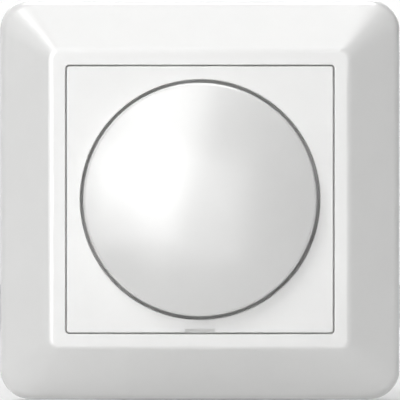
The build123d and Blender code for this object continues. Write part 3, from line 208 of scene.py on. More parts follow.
def lumps(tree, millimetres, detail=2.0, stretch=(1, 1, 1)):
    """Noise whose lumps have about this size."""
    texture = add_node(
        tree,
        "ShaderNodeTexNoise",
        {"Scale": 1 / (millimetres * MM), "Detail": detail},
        Vector=place(tree, stretch=stretch),
    )
    return texture.outputs["Fac"]


def spread(tree, value, low, high, start=0.3, end=0.7):
    """A value from start to end as one from low to high."""
    node = add_node(
        tree,
        "ShaderNodeMapRange",
        {"From Min": start, "From Max": end, "To Min": low, "To Max": high},
        Value=value,
    )
    return node.outputs["Result"]


def blend(tree, factor, first, second):
    """A mix of two colours, each a value or a socket."""
    node = add_node(tree, "ShaderNodeMix", {"data_type": "RGBA"})
    tree.links.new(factor, node.inputs["Factor"])
    for colour, socket in ((first, node.inputs[6]), (second, node.inputs[7])):
        if isinstance(colour, bpy.types.NodeSocket):
            tree.links.new(colour, socket)
        else:
            socket.default_value = colour
    return node.outputs[2]


def calculate(tree, operation, first, second=0.0):
    """One arithmetic step on numbers or sockets."""
    node = add_node(tree, "ShaderNodeMath", {"operation": operation})
    for source, socket in zip((first, second), node.inputs):
        if isinstance(source, bpy.types.NodeSocket):
            tree.links.new(source, socket)
        else:
            socket.default_value = source
    return node.outputs[0]


def relief(tree, shader, height, millimetres):
    """Give the surface this height pattern, which is this deep."""
    node = add_node(
        tree, "ShaderNodeBump", {"Strength": 1.0, "Distance": millimetres * MM}, Height=height
    )
    tree.links.new(node.outputs[0], shader.inputs["Normal"])


def axes(tree, centre=(0, 0, 0)):
    """The three parts of the position on the piece, from this centre in millimetres."""
    return add_node(tree, "ShaderNodeSeparateXYZ", Vector=place(tree, centre)).outputs


def radius(tree, centre=(0, 0, 0)):
    """The distance from a line through this centre that runs along the knob's axis."""
    length = add_node(tree, "ShaderNodeVectorMath", {"operation": "LENGTH"})
    tree.links.new(place(tree, centre, stretch=(1, 0, 1)), length.inputs[0])
    return length.outputs["Value"]


def border(tree, value, start, end, before=0.0, after=1.0):
    """One value before this place in millimetres and another after it."""
    return spread(tree, value, before, after, start * MM, end * MM)


def shade(colour, factor, lift=0.0):
    """A colour made darker or paler."""
    return [min(1.0, c * factor + lift) for c in colour[:3]] + [1.0]


def dress(material, *slots):
    """Every CAD node that is filed under one of these finishes gets the material."""
    for thing in NODES.values():
        if SLOTS[thing.name] in slots:
            thing.data.materials.clear()
            thing.data.materials.append(material)


# The stage

# The camera's sensor in millimetres, and the rest in metres
SENSOR_WIDTH = 36.0
CAMERA_HEIGHT = -0.11 * MM
CAMERA_REACH = 10.0
FLOOR_HEIGHT = -41.2 * MM
FLOOR_HALF_SIZE = 3.0
LAMP_DISTANCE = 1.2

# Azimuth and elevation in degrees, size in metres, watts, and whether only reflections see it
LAMPS = (
    ("key_softbox", -17, 31, 0.7, 5.85, False),
    ("top_rim_softbox", -75, 80, 0.3, 5.4, False),
    ("left_fill_softbox", -30, 45, 0.3, 0.6, False),
    ("front_card", -3, -4, 0.84, 6.4, True),
    ("left_card", -24, 1, 0.72, 10.2, True),
    ("top_card", -15, 30, 0.7, 1.6, True),
    ("sky_card", 15, 60, 0.7, 4.5, True),
    ("edge_card", 75, 80, 0.3, 6.0, True),
    ("rear_left_softbox", -172, 40, 0.7, 6.0, False),
    ("rear_right_softbox", 165, 12, 0.7, 2.5, False),
)


class DIMMER_OT_stage(bpy.types.Operator):
    """Set up the floor, the soft lamps, the white surroundings and the camera"""

    bl_idname = "dimmer.stage"
    bl_label = "Studio"

    def execute(self, context):
        settings = context.scene.dimmer_stage
        scene = context.scene
        scene.view_settings.view_transform = "Standard"
        self.add_camera(scene, settings)
        self.add_surroundings(scene, settings)
        for lamp in LAMPS:
            self.add_lamp(scene, settings.lamp_level, *lamp)
        self.add_floor(scene, settings)
        return {"FINISHED"}

    def add_camera(self, scene, settings):
        camera = bpy.data.objects.new("camera", bpy.data.cameras.new("camera"))
        camera.data.sensor_width = SENSOR_WIDTH
        camera.data.lens = SENSOR_WIDTH * settings.camera_distance / settings.view_width
        camera.data.clip_end = CAMERA_REACH
        camera.location = (0, -settings.camera_distance, CAMERA_HEIGHT)
        camera.rotation_euler = (math.pi / 2, 0, 0)
        scene.collection.objects.link(camera)
        scene.camera = camera

    def add_surroundings(self, scene, settings):
        # White for the eye, in mirrors and through glass, and dim as a source of light.
        world = bpy.data.worlds.new("surroundings")
        world.use_nodes = True
        tree = world.node_tree
        tree.nodes.clear()
        path = add_node(tree, "ShaderNodeLightPath").outputs
        seen = calculate(tree, "MAXIMUM", path["Is Camera Ray"], path["Is Glossy Ray"])
        seen = calculate(tree, "MAXIMUM", seen, path["Is Transmission Ray"])
        strength = spread(tree, seen, settings.ambient, 1.0, 0.0, 1.0)
        background = add_node(
            tree, "ShaderNodeBackground", {"Color": (1, 1, 1, 1)}, Strength=strength
        )
        output = add_node(tree, "ShaderNodeOutputWorld")
        tree.links.new(background.outputs[0], output.inputs["Surface"])
        scene.world = world

    def add_lamp(self, scene, level, name, azimuth, elevation, size, watts, card):
        turn, rise = math.radians(azimuth), math.radians(elevation)
        towards = Vector(
            (math.sin(turn) * math.cos(rise), -math.cos(turn) * math.cos(rise), math.sin(rise))
        )
        lamp = bpy.data.lights.new(name, "AREA")
        lamp.shape = "SQUARE"
        lamp.size = size
        lamp.energy = watts * level
        thing = bpy.data.objects.new(name, lamp)
        thing.location = towards * LAMP_DISTANCE
        thing.rotation_euler = (-towards).to_track_quat("-Z", "Y").to_euler()
        thing.visible_camera = False
        thing.visible_diffuse = not card
        scene.collection.objects.link(thing)

    def add_floor(self, scene, settings):
        mesh = bpy.data.meshes.new("floor")
        plate = bmesh.new()
        bmesh.ops.create_grid(plate, x_segments=2, y_segments=2, size=FLOOR_HALF_SIZE)
        bmesh.ops.translate(plate, verts=plate.verts, vec=(0, 0, FLOOR_HEIGHT))
        plate.to_mesh(mesh)
        plate.free()
        floor = bpy.data.objects.new("floor", mesh)
        scene.collection.objects.link(floor)
        # A matt pale floor under the object, which the gloss of the covers doesn't mirror.
        material, _, shader = new_material("painted_floor")
        set_finish(shader, Base_Color=settings.floor_colour, Roughness=0.9)
        mesh.materials.append(material)
        floor.visible_glossy = False


# The finishes of the CAD pieces

# Where a finish starts and ends its change on a piece, and two pattern sizes, in millimetres
EJECTOR_MARKS = ((-11.0, 9.0), (11.0, 9.0), (-11.0, -3.0), (11.0, -3.0))
EJECTOR_RADIUS = (1.9, 2.1)
REAR_FACE = (26.3, 26.4)
REAR_DEPTH = 26.5
TURNED_RING = 0.12
TRACK_INNER_EDGE = (4.5, 4.6)
TRACK_OUTER_EDGE = (6.7, 6.8)
BARE_CORE_END = (16.0, 16.1)
WINDING_CENTRE = (-13.9, 0, 2.0)
TRIAC_TAB_FACE = (1.5, 1.56)
TRIAC_LEADS_START = (7.7, 7.72)
CAPACITOR_LEGS_END = (9.15, 9.25)
DIAC_CENTRE = (-9.5, 0, 0)
DIAC_BODY_END = (1.9, 2.0)
RESISTOR_BODY = (2.1, 9.1)
RESISTOR_CENTRE = 5.6
RESISTOR_BODY_END = (3.4, 3.5)
PAD_WEAVE = 0.5


class DIMMER_OT_covers(bpy.types.Operator):
    """Give the frame, the central plate and the knob their white moulded finish"""

    bl_idname = "dimmer.covers"
    bl_label = "White covers"

    def execute(self, context):
        settings = context.scene.dimmer_covers
        # Thermoset from a polished tool: clean white with a bright, slightly rippled gloss.
        material, tree, shader = new_material("white_polished_thermoset")
        set_finish(
            shader, IOR=1.5, Specular_IOR_Level=settings.specular, Base_Color=settings.colour
        )
        deeper = shade(settings.colour, 0.985)
        tone = spread(tree, lumps(tree, 6.0, 3.0), 0.0, 1.0)
        tree.links.new(blend(tree, tone, settings.colour, deeper), shader.inputs["Base Color"])
        smooth = spread(
            tree, lumps(tree, 0.9, 4.0), settings.roughness * 0.93, settings.roughness * 1.07
        )
        tree.links.new(smooth, shader.inputs["Roughness"])
        ripple = calculate(
            tree, "ADD", lumps(tree, settings.ripple / MM), lumps(tree, settings.ripple / MM / 7)
        )
        relief(tree, shader, ripple, 0.0015)
        dress(material, "white_cover")
        return {"FINISHED"}


class DIMMER_OT_case(bpy.types.Operator):
    """Give the housing and its rear cover their dark eroded grain and ejector marks"""

    bl_idname = "dimmer.case"
    bl_label = "Insulating case"

    def execute(self, context):
        settings = context.scene.dimmer_case
        # Glass-filled nylon: dark, dull, with a sandy grain and pale flow clouds.
        material, tree, shader = new_material("dark_filled_nylon")
        paler = shade(settings.colour, 1.25, 0.002)
        clouds = spread(tree, lumps(tree, 7.0, 5.0), 0.0, 0.7)
        tree.links.new(blend(tree, clouds, settings.colour, paler), shader.inputs["Base Color"])
        dullness = spread(tree, lumps(tree, 1.5, 3.0), 0.42, 0.6)
        tree.links.new(dullness, shader.inputs["Roughness"])
        grain = lumps(tree, settings.grain / MM, 3.0)
        # Round marks that the tool's ejector pins leave on the rear cover.
        marks = 0.0
        for x, z in EJECTOR_MARKS:
            away = radius(tree, (x, REAR_DEPTH, z))
            inside = border(tree, away, *EJECTOR_RADIUS, before=1.0, after=0.0)
            marks = calculate(tree, "MAXIMUM", marks, inside)
        rear = border(tree, axes(tree)["Y"], *REAR_FACE)
        pressed = calculate(tree, "MULTIPLY", calculate(tree, "MULTIPLY", marks, rear), -6.0)
        relief(tree, shader, calculate(tree, "ADD", grain, pressed), 0.012)
        dress(material, "housing_plastic")
        return {"FINISHED"}


class DIMMER_OT_plated_metal(bpy.types.Operator):
    """Give the sheet, the screws, the claws and the clamps their zinc plating"""

    bl_idname = "dimmer.plated_metal"
    bl_label = "Plated steel"

    def execute(self, context):
        settings = context.scene.dimmer_metal
        # name, slots, streak stretch, roughness from and to, relief in millimetres
        finishes = (
            # Rolled sheet: long streaks along the rolling direction under drifting zinc tints.
            ("zinc_plated_rolled_steel", ("zinc_plate",), (0.06, 1, 1), 0.28, 0.46, 0.004),
            # Barrel-plated screws: even and bright, with small dull dents from the barrel.
            ("barrel_plated_screw_steel", ("zinc_screws",), (1, 1, 1), 0.22, 0.38, 0.006),
            # Pressed claws: greyer, with drawn lines along their length.
            ("pressed_claw_steel", ("claw_steel",), (1, 0.1, 1), 0.34, 0.52, 0.006),
            # Clamp frames: smooth nickel-like sheet with faint scratches across.
            ("folded_clamp_steel", ("clamp_steel",), (1, 1, 0.12), 0.24, 0.4, 0.004),
        )
        for name, slots, streaks, low, high, depth in finishes:
            material, tree, shader = new_material(name)
            set_finish(shader, Metallic=1.0)
            drift = spread(tree, lumps(tree, 5.0, 4.0), 0.0, 1.0)
            tree.links.new(
                blend(tree, drift, settings.zinc, settings.zinc_tint), shader.inputs["Base Color"]
            )
            fine = lumps(tree, 0.35, 4.0, streaks)
            tree.links.new(spread(tree, fine, low, high), shader.inputs["Roughness"])
            relief(tree, shader, fine, depth)
            dress(material, *slots)
        return {"FINISHED"}


class DIMMER_OT_bare_metal(bpy.types.Operator):
    """Give the turned, spring, contact and tinned metals their finish"""

    bl_idname = "dimmer.bare_metal"
    bl_label = "Bare metals"

    def execute(self, context):
        settings = context.scene.dimmer_metal
        self.turned("turned_brass_rings", settings.brass, "turned_brass")
        self.turned("turned_aluminium_rings", settings.aluminium, "shaft_aluminium")
        self.sheet("blued_spring_steel", settings.spring, 0.36, 0.5, "spring_steel")
        self.sheet("phosphor_bronze_strip", settings.copper, 0.25, 0.42, "contact_copper")
        self.sheet("dull_tin_coat", settings.zinc, 0.3, 0.5, "tinned_leads")
        return {"FINISHED"}

    def turned(self, name, colour, slot):
        # Lathe-turned: fine rings round the axis of the knob, with painted shade in the grooves.
        material, tree, shader = new_material(name)
        set_finish(shader, Metallic=1.0)
        travel = calculate(tree, "ADD", radius(tree), axes(tree)["Y"])
        phase = calculate(tree, "MULTIPLY", travel, math.tau / (TURNED_RING * MM))
        rings = spread(tree, calculate(tree, "SINE", phase), 0.0, 1.0, -1.0, 1.0)
        # Painted shade: the grooves get a darker copy of the metal's colour.
        groove_shade = shade(colour, 0.88)
        tree.links.new(blend(tree, rings, colour, groove_shade), shader.inputs["Base Color"])
        worn = spread(tree, lumps(tree, 0.8, 3.0), 0.27, 0.34)
        tree.links.new(worn, shader.inputs["Roughness"])
        relief(tree, shader, rings, 0.003)
        dress(material, slot)

    def sheet(self, name, colour, low, high, slot):
        # Strip or wire: soft stains over a fine drawn grain.
        material, tree, shader = new_material(name)
        set_finish(shader, Metallic=1.0)
        darker = shade(colour, 0.72)
        stain = spread(tree, lumps(tree, 1.6, 4.0), 0.0, 1.0)
        tree.links.new(blend(tree, stain, colour, darker), shader.inputs["Base Color"])
        fine = lumps(tree, 0.18, 3.0, (1, 0.2, 1))
        tree.links.new(spread(tree, fine, low, high), shader.inputs["Roughness"])
        relief(tree, shader, fine, 0.003)
        dress(material, slot)


class DIMMER_OT_mechanism(bpy.types.Operator):
    """Give the potentiometer's and the push switch's mouldings their finish"""

    bl_idname = "dimmer.mechanism"
    bl_label = "Potentiometer and switch"

    def execute(self, context):
        # Small technical mouldings: satin, with a fine grain and slightly cloudy colour.
        for name, code, grain, slot in (
            ("black_pot_moulding", "#26272A", 0.15, "pot_plastic"),
            ("ivory_rotor_moulding", "#D9D3C2", 0.2, "rotor_plastic"),
            ("black_switch_moulding", "#2B2C30", 0.15, "switch_plastic"),
            ("red_plunger_moulding", "#B23A2E", 0.2, "plunger_plastic"),
        ):
            material, tree, shader = new_material(name)
            colour = hex_colour(code)
            paler = shade(colour, 1.25, 0.01)
            cloud = spread(tree, lumps(tree, 2.5, 3.0), 0.0, 0.8)
            tree.links.new(blend(tree, cloud, colour, paler), shader.inputs["Base Color"])
            tree.links.new(
                spread(tree, lumps(tree, 0.6, 3.0), 0.35, 0.5), shader.inputs["Roughness"]
            )
            relief(tree, shader, lumps(tree, grain, 2.0), 0.004)
            dress(material, slot)

        # Brown paper laminate with a printed ring of black carbon under the wiper.
        material, tree, shader = new_material("phenolic_wafer_with_carbon_track")
        away = radius(tree)
        outside = border(tree, away, *TRACK_INNER_EDGE)
        within = border(tree, away, *TRACK_OUTER_EDGE, before=1.0, after=0.0)
        carbon = calculate(tree, "MULTIPLY", outside, within)
        fibre = spread(tree, lumps(tree, 0.5, 5.0, (0.2, 1, 1)), 0.0, 1.0)
        paper = blend(tree, fibre, hex_colour("#8A5A2E"), hex_colour("#6E4420"))
        tree.links.new(
            blend(tree, carbon, paper, hex_colour("#1C1C1E")), shader.inputs["Base Color"]
        )
        tree.links.new(spread(tree, carbon, 0.35, 0.55, 0.0, 1.0), shader.inputs["Roughness"])
        relief(tree, shader, calculate(tree, "ADD", fibre, carbon), 0.006)
        dress(material, "wafer_laminate")
        return {"FINISHED"}


class DIMMER_OT_circuit(bpy.types.Operator):
    """Give the circuit board and its components their finish"""

    bl_idname = "dimmer.circuit"
    bl_label = "Circuit"

    def execute(self, context):
        settings = context.scene.dimmer_circuit
        metal = context.scene.dimmer_metal
        self.board(settings)
        self.choke(settings)
        self.component(metal, "black_power_moulding", "#1F2023", "triac_body", self.triac_metal)
        self.component(metal, "yellow_film_box", "#D9A62B", "capacitor_yellow", self.legs_metal)
        self.component(metal, "red_dipped_lacquer", "#A33A22", "capacitor_red", self.legs_metal)
        self.component(metal, "blue_diode_glass", "#3E5F7E", "diac_body", self.diac_metal)
        self.resistors(metal)

        # Grey silicone sheet: chalky and soft, with a woven carrier showing through.
        material, tree, shader = new_material("grey_silicone_pad")
        scale = {"Scale": 1 / (PAD_WEAVE * MM)}
        weave = add_node(tree, "ShaderNodeTexChecker", scale, Vector=place(tree))
        grey = blend(tree, weave.outputs["Fac"], hex_colour("#8F9290"), hex_colour("#868986"))
        tree.links.new(grey, shader.inputs["Base Color"])
        tree.links.new(spread(tree, lumps(tree, 0.4), 0.6, 0.8), shader.inputs["Roughness"])
        relief(tree, shader, weave.outputs["Fac"], 0.01)
        dress(material, "pad_rubber")

        # Clear tube glass with faint drawn streaks along the fuse.
        material, tree, shader = new_material("drawn_fuse_glass")
        set_finish(shader, Transmission_Weight=1.0, IOR=1.5, Base_Color=hex_colour("#F4F8F6"))
        streaks = lumps(tree, 0.5, 2.0, (0.1, 1, 1))
        tree.links.new(spread(tree, streaks, 0.01, 0.05), shader.inputs["Roughness"])
        relief(tree, shader, streaks, 0.002)
        dress(material, "fuse_glass")
        return {"FINISHED"}

    def board(self, settings):
        # Lacquered laminate: raised paler copper fields with dark gaps between them.
        material, tree, shader = new_material("green_lacquered_laminate")
        parts = axes(tree)
        flat = add_node(tree, "ShaderNodeCombineXYZ", X=parts["X"], Y=parts["Z"])
        fields = add_node(
            tree,
            "ShaderNodeTexBrick",
            {
                "Scale": 1.0,
                "Brick Width": 9.5 * MM,
                "Row Height": 3.7 * MM,
                "Mortar Size": 0.28 * MM,
                "Mortar Smooth": 0.3,
                "offset": 0.37,
                "squash": 0.45,
                "squash_frequency": 3,
            },
            Vector=flat.outputs[0],
        )
        track = calculate(tree, "SUBTRACT", 1.0, fields.outputs["Fac"])
        green = blend(tree, lumps(tree, 3.0, 3.0), settings.board, hex_colour("#284F33"))
        tree.links.new(blend(tree, track, green, settings.track), shader.inputs["Base Color"])
        tree.links.new(spread(tree, lumps(tree, 0.7), 0.22, 0.34), shader.inputs["Roughness"])
        relief(tree, shader, track, 0.03)
        dress(material, "board_laminate")

    def choke(self, settings):
        # Pressed iron powder under a yellow coat, one end face left white.
        material, tree, shader = new_material("coated_iron_powder")
        end = border(tree, axes(tree)["Y"], *BARE_CORE_END)
        coat = blend(tree, end, hex_colour("#D8B640"), hex_colour("#E4E2DA"))
        tree.links.new(coat, shader.inputs["Base Color"])
        tree.links.new(spread(tree, lumps(tree, 0.3), 0.4, 0.6), shader.inputs["Roughness"])
        relief(tree, shader, lumps(tree, 0.25, 4.0), 0.02)
        dress(material, "core_iron")

        # Enamelled copper: clear amber gloss over red metal, one ridge for each turn, with painted
        # shade between the turns.
        material, tree, shader = new_material("enamelled_copper_turns")
        set_finish(shader, Metallic=0.9, Coat_Weight=0.6, Coat_Roughness=0.1)
        parts = axes(tree, WINDING_CENTRE)
        angle = calculate(tree, "ARCTAN2", parts["X"], parts["Z"])
        phase = calculate(tree, "MULTIPLY", angle, settings.winding_turns / 2)
        turns = calculate(tree, "ABSOLUTE", calculate(tree, "SINE", phase))
        # Painted shade: the dark lines between the turns are a darker copy of the wire's colour.
        groove_shade = shade(settings.winding, 0.35)
        tree.links.new(blend(tree, turns, groove_shade, settings.winding), shader.inputs["Base Color"])
        tree.links.new(spread(tree, lumps(tree, 0.8), 0.2, 0.32), shader.inputs["Roughness"])
        relief(tree, shader, turns, 0.2)
        dress(material, "copper_wire")

    def component(self, metal, name, code, slot, bare):
        # Moulded or dipped body: one colour with a fine grain, and bright tinned legs.
        material, tree, shader = new_material(name)
        tinned = bare(tree)
        colour = hex_colour(code)
        paler = shade(colour, 1.1, 0.005)
        body = blend(tree, spread(tree, lumps(tree, 1.2, 4.0), 0.0, 1.0), colour, paler)
        tree.links.new(blend(tree, tinned, body, metal.zinc), shader.inputs["Base Color"])
        tree.links.new(tinned, shader.inputs["Metallic"])
        rough = spread(tree, lumps(tree, 0.4, 3.0), 0.3, 0.45)
        tree.links.new(rough, shader.inputs["Roughness"])
        relief(tree, shader, lumps(tree, 0.2, 3.0), 0.005)
        dress(material, slot)

    def triac_metal(self, tree):
        parts = axes(tree)
        tab = border(tree, parts["Y"], *TRIAC_TAB_FACE, before=1.0, after=0.0)
        leads = border(tree, parts["X"], *TRIAC_LEADS_START)
        return calculate(tree, "MAXIMUM", tab, leads)

    def legs_metal(self, tree):
        return border(tree, axes(tree)["Y"], *CAPACITOR_LEGS_END, before=1.0, after=0.0)

    def diac_metal(self, tree):
        away = calculate(tree, "ABSOLUTE", axes(tree, DIAC_CENTRE)["X"])
        return border(tree, away, *DIAC_BODY_END)

    def resistors(self, metal):
        # Beige lacquer with four painted rings on each body, and tinned wire beyond it.
        material, tree, shader = new_material("beige_resistor_lacquer")
        across = calculate(tree, "ABSOLUTE", axes(tree)["X"])
        along = border(tree, across, *RESISTOR_BODY)
        ramp = add_node(tree, "ShaderNodeValToRGB", Fac=along)
        ramp.color_ramp.interpolation = "CONSTANT"
        beige = hex_colour("#CBB58C")
        # Each ring's start and end along the body, and its colour
        rings = (
            (0.18, 0.26, "#7A3B1E"),
            (0.33, 0.41, "#1A1A1A"),
            (0.48, 0.56, "#C8641E"),
            (0.76, 0.84, "#B8963C"),
        )
        elements = ramp.color_ramp.elements
        elements.remove(elements[1])
        elements[0].color = beige
        for start, end, code in rings:
            elements.new(start).color = hex_colour(code)
            elements.new(end).color = beige
        middle = calculate(tree, "SUBTRACT", across, RESISTOR_CENTRE * MM)
        tinned = border(tree, calculate(tree, "ABSOLUTE", middle), *RESISTOR_BODY_END)
        tree.links.new(
            blend(tree, tinned, ramp.outputs["Color"], metal.zinc), shader.inputs["Base Color"]
        )
        tree.links.new(tinned, shader.inputs["Metallic"])
        tree.links.new(spread(tree, lumps(tree, 0.5), 0.25, 0.4), shader.inputs["Roughness"])
        relief(tree, shader, lumps(tree, 0.3, 3.0), 0.004)
        dress(material, "resistor_lacquer")


# The pieces that repeat, and the return spring

# Half the width of a thread's ridge as a share of its pitch, and two directions
THREAD_HALF_WIDTH = 0.34
INTO_WALL = (-math.pi / 2, 0.0, 0.0)
UPWARDS = (0.0, 0.0, 0.0)

# Name, body, slot, start, direction, length, shank radius, finish, in millimetres
THREADS = (
    (
        "bushing_thread", "insert", "turned_brass",
        (0, -8.7, 0), INTO_WALL, 8.4, 5.0, "turned_brass_rings",
    ),
    *(
        (
            f"claw_thread_{side}", f"claw_screw_{side}", "zinc_screws",
            (x, 1.0, 0), INTO_WALL, 21.2, 1.5, "barrel_plated_screw_steel",
        )
        for side, x in (("left", -24.6), ("right", 24.6))
    ),
    *(
        (
            f"terminal_thread_{number}", f"terminal_screw_{number}", "zinc_screws",
            (x, 20.8, -20.0), UPWARDS, 4.5, 1.5, "barrel_plated_screw_steel",
        )
        for number, x in ((1, -8.0), (2, 0.0), (3, 8.0))
    ),
)

# Where legs come through the board, across and up, and the depth of each side's joints
SOLDER_TOP_RADIUS = 0.42
FRONT_JOINT_DEPTH = 7.5
BACK_JOINT_DEPTH = 9.1
FRONT_JOINTS = (
    (-16.86, 5.78), (-10.94, 5.78), (13.0, 6.5), (13.0, -5.5), (-17.3, -8.2),
    (-12.3, -8.2), (-7.0, 12.9), (-7.0, 16.1), (7.0, 12.9), (7.0, 16.1),
)
BACK_JOINTS = (
    (-5.0, -9.8), (0.0, -9.8), (5.0, -9.8), (-12.5, -12.8), (-6.5, -12.8),
    (9.6, 13.96), (9.6, 16.5), (9.6, 19.04),
    (-10.6, -17.6), (-0.6, -17.6), (0.6, -17.6), (10.6, -17.6),
    (-10.6, -20.4), (-0.6, -20.4), (0.6, -20.4), (10.6, -20.4),
)


def add_group(name, *sockets):
    """An empty Geometry Nodes tree with a geometry output and these named inputs."""
    old = bpy.data.node_groups.get(name)
    if old:
        bpy.data.node_groups.remove(old)
    group = bpy.data.node_groups.new(name, "GeometryNodeTree")
    group.interface.new_socket("Geometry", in_out="INPUT", socket_type="NodeSocketGeometry")
    for label, kind in sockets:
        group.interface.new_socket(label, in_out="INPUT", socket_type=kind)
    group.interface.new_socket("Geometry", in_out="OUTPUT", socket_type="NodeSocketGeometry")
    return group, group.nodes.new("NodeGroupInput"), group.nodes.new("NodeGroupOutput")


def finish_group(group, entry, exit_node, geometry):
    """End the tree in smooth, realised faces of one finish."""
    solid = add_node(group, "GeometryNodeRealizeInstances", Geometry=geometry)
    smooth = add_node(group, "GeometryNodeSetShadeSmooth", Geometry=solid.outputs[0])
    finish = add_node(
        group,
        "GeometryNodeSetMaterial",
        Geometry=smooth.outputs[0],
        Material=entry.outputs["Finish"],
    )
    group.links.new(finish.outputs[0], exit_node.inputs["Geometry"])


def grow(name, group, points=(), **values):
    """Run a tree on these points and keep its result as a plain mesh."""
    mesh = bpy.data.meshes.new(name)
    mesh.from_pydata([[c * MM for c in point] for point in points], [], [])
    piece = bpy.data.objects.new(name, mesh)
    bpy.context.scene.collection.objects.link(piece)
    modifier = piece.modifiers.new("shape", "NODES")
    modifier.node_group = group
    for item in group.interface.items_tree:
        key = item.name.replace(" ", "_")
        if item.in_out == "INPUT" and key in values:
            modifier[item.identifier] = values[key]
    bpy.context.view_layer.update()
    ready = piece.evaluated_get(bpy.context.evaluated_depsgraph_get())
    shape = bpy.data.meshes.new_from_object(ready)
    shape.name = name
    shape.materials.clear()
    shape.materials.append(values["Finish"])
    shape.polygons.foreach_set("material_index", [0] * len(shape.polygons))
    piece.modifiers.remove(modifier)
    piece.data = shape
    return piece


class DIMMER_OT_threads(bpy.types.Operator):
    """Wind the screw threads round the shanks and the bushing"""

    bl_idname = "dimmer.threads"
    bl_label = "Screw threads"

    def execute(self, context):
        settings = context.scene.dimmer_threads
        group, entry, exit_node = add_group(
            "screw_thread",
            ("Turns", "NodeSocketFloat"),
            ("Pitch", "NodeSocketFloat"),
            ("Shank Radius", "NodeSocketFloat"),
            ("Crest", "NodeSocketFloat"),
            ("Start", "NodeSocketVector"),
            ("Tilt", "NodeSocketVector"),
            ("Finish", "NodeSocketMaterial"),
        )
        values = entry.outputs
        height = calculate(group, "MULTIPLY", values["Turns"], values["Pitch"])
        helix = add_node(
            group,
            "GeometryNodeCurveSpiral",
            {"Resolution": 28},
            Rotations=values["Turns"],
            Start_Radius=values["Shank Radius"],
            End_Radius=values["Shank Radius"],
            Height=height,
        )
        upright = add_node(
            group, "GeometryNodeSetCurveNormal", {"mode": "Z_UP"}, Curve=helix.outputs[0]
        )
        ridge = add_node(
            group, "GeometryNodeCurvePrimitiveCircle", {"Resolution": 6, "Radius": 1.0}
        )
        half_width = calculate(group, "MULTIPLY", values["Pitch"], THREAD_HALF_WIDTH)
        section = add_node(group, "ShaderNodeCombineXYZ", X=values["Crest"], Y=half_width)
        flat = add_node(
            group, "GeometryNodeTransform", Geometry=ridge.outputs[0], Scale=section.outputs[0]
        )
        tube = add_node(
            group,
            "GeometryNodeCurveToMesh",
            {"Fill Caps": True},
            Curve=upright.outputs[0],
            Profile_Curve=flat.outputs[0],
        )
        placed = add_node(
            group,
            "GeometryNodeTransform",
            Geometry=tube.outputs[0],
            Translation=values["Start"],
            Rotation=values["Tilt"],
        )
        finish_group(group, entry, exit_node, placed.outputs[0])

        for name, body, slot, start, tilt, length, shank, finish in THREADS:
            piece = grow(
                name,
                group,
                Turns=length * MM / settings.pitch,
                Pitch=settings.pitch,
                Shank_Radius=shank * MM,
                Crest=settings.crest,
                Start=[c * MM for c in start],
                Tilt=tilt,
                Finish=bpy.data.materials[finish],
            )
            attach(piece, body)
        return {"FINISHED"}


class DIMMER_OT_solder(bpy.types.Operator):
    """Put a solder joint round each leg that comes through the circuit board"""

    bl_idname = "dimmer.solder"
    bl_label = "Solder joints"

    def execute(self, context):
        settings = context.scene.dimmer_circuit
        group, entry, exit_node = add_group(
            "solder_joint",
            ("Foot Radius", "NodeSocketFloat"),
            ("Height", "NodeSocketFloat"),
            ("Tilt", "NodeSocketVector"),
            ("Finish", "NodeSocketMaterial"),
        )
        values = entry.outputs
        cone = add_node(
            group,
            "GeometryNodeMeshCone",
            {
                "Vertices": 18,
                "Side Segments": 3,
                "Fill Segments": 1,
                "Radius Top": SOLDER_TOP_RADIUS * MM,
            },
            Radius_Bottom=values["Foot Radius"],
            Depth=values["Height"],
        )
        cones = add_node(
            group,
            "GeometryNodeInstanceOnPoints",
            Points=values["Geometry"],
            Instance=cone.outputs["Mesh"],
            Rotation=values["Tilt"],
        )
        finish_group(group, entry, exit_node, cones.outputs[0])

        # Solder is the tin of the legs.
        tin = bpy.data.materials["dull_tin_coat"]
        for name, joints, depth, tilt in (
            ("solder_joints_front", FRONT_JOINTS, FRONT_JOINT_DEPTH, math.pi / 2),
            ("solder_joints_back", BACK_JOINTS, BACK_JOINT_DEPTH, -math.pi / 2),
        ):
            piece = grow(
                name,
                group,
                [(x, depth, z) for x, z in joints],
                Foot_Radius=settings.joint_radius,
                Height=settings.joint_height,
                Tilt=(tilt, 0.0, 0.0),
                Finish=tin,
            )
            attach(piece, "insert")
        return {"FINISHED"}


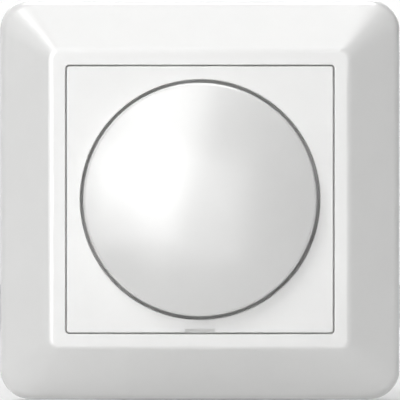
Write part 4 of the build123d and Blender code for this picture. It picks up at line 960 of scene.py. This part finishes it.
class DIMMER_OT_return_spring(bpy.types.Operator):
    """Put a smooth copy of the plunger's return spring in place of the CAD one"""

    bl_idname = "dimmer.return_spring"
    bl_label = "Return spring"

    def execute(self, context):
        solid = NODES["plunger_spring"]
        shape = bmesh.new()
        shape.from_mesh(solid.data)
        bmesh.ops.remove_doubles(shape, verts=shape.verts, dist=1e-7)
        for face in shape.faces:
            face.smooth = True
        mesh = bpy.data.meshes.new("return_spring")
        shape.to_mesh(mesh)
        shape.free()
        mesh.materials.clear()
        mesh.materials.append(bpy.data.materials["blued_spring_steel"])
        piece = bpy.data.objects.new("return_spring", mesh)
        context.scene.collection.objects.link(piece)
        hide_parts("plunger_spring")
        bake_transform(piece)
        return {"FINISHED"}


class DIMMER_PT_panel(bpy.types.Panel):
    """Lists the steps that make the dimmer"""

    bl_idname = "DIMMER_PT_panel"
    bl_label = "Dimmer"
    bl_space_type = "VIEW_3D"
    bl_region_type = "UI"
    bl_category = "Dimmer"

    def draw(self, context):
        for operator in OPERATORS:
            self.layout.operator(operator.bl_idname)


GROUPS = {
    "dimmer_stage": StageSettings,
    "dimmer_covers": CoverSettings,
    "dimmer_case": CaseSettings,
    "dimmer_metal": MetalSettings,
    "dimmer_circuit": CircuitSettings,
    "dimmer_threads": ThreadSettings,
}
OPERATORS = (
    DIMMER_OT_stage,
    DIMMER_OT_covers,
    DIMMER_OT_case,
    DIMMER_OT_plated_metal,
    DIMMER_OT_bare_metal,
    DIMMER_OT_mechanism,
    DIMMER_OT_circuit,
    DIMMER_OT_threads,
    DIMMER_OT_solder,
    DIMMER_OT_return_spring,
)


def register():
    for kind in (*GROUPS.values(), *OPERATORS, DIMMER_PT_panel):
        bpy.utils.register_class(kind)
    for name, kind in GROUPS.items():
        setattr(bpy.types.Scene, name, PointerProperty(type=kind))


def unregister():
    for name in GROUPS:
        delattr(bpy.types.Scene, name)
    for kind in reversed((*GROUPS.values(), *OPERATORS, DIMMER_PT_panel)):
        bpy.utils.unregister_class(kind)


def main():
    register()
    bpy.ops.dimmer.stage()
    bpy.ops.dimmer.covers()
    bpy.ops.dimmer.case()
    bpy.ops.dimmer.plated_metal()
    bpy.ops.dimmer.bare_metal()
    bpy.ops.dimmer.mechanism()
    bpy.ops.dimmer.circuit()
    bpy.ops.dimmer.threads()
    bpy.ops.dimmer.solder()
    bpy.ops.dimmer.return_spring()


if __name__ == "__main__":
    main()
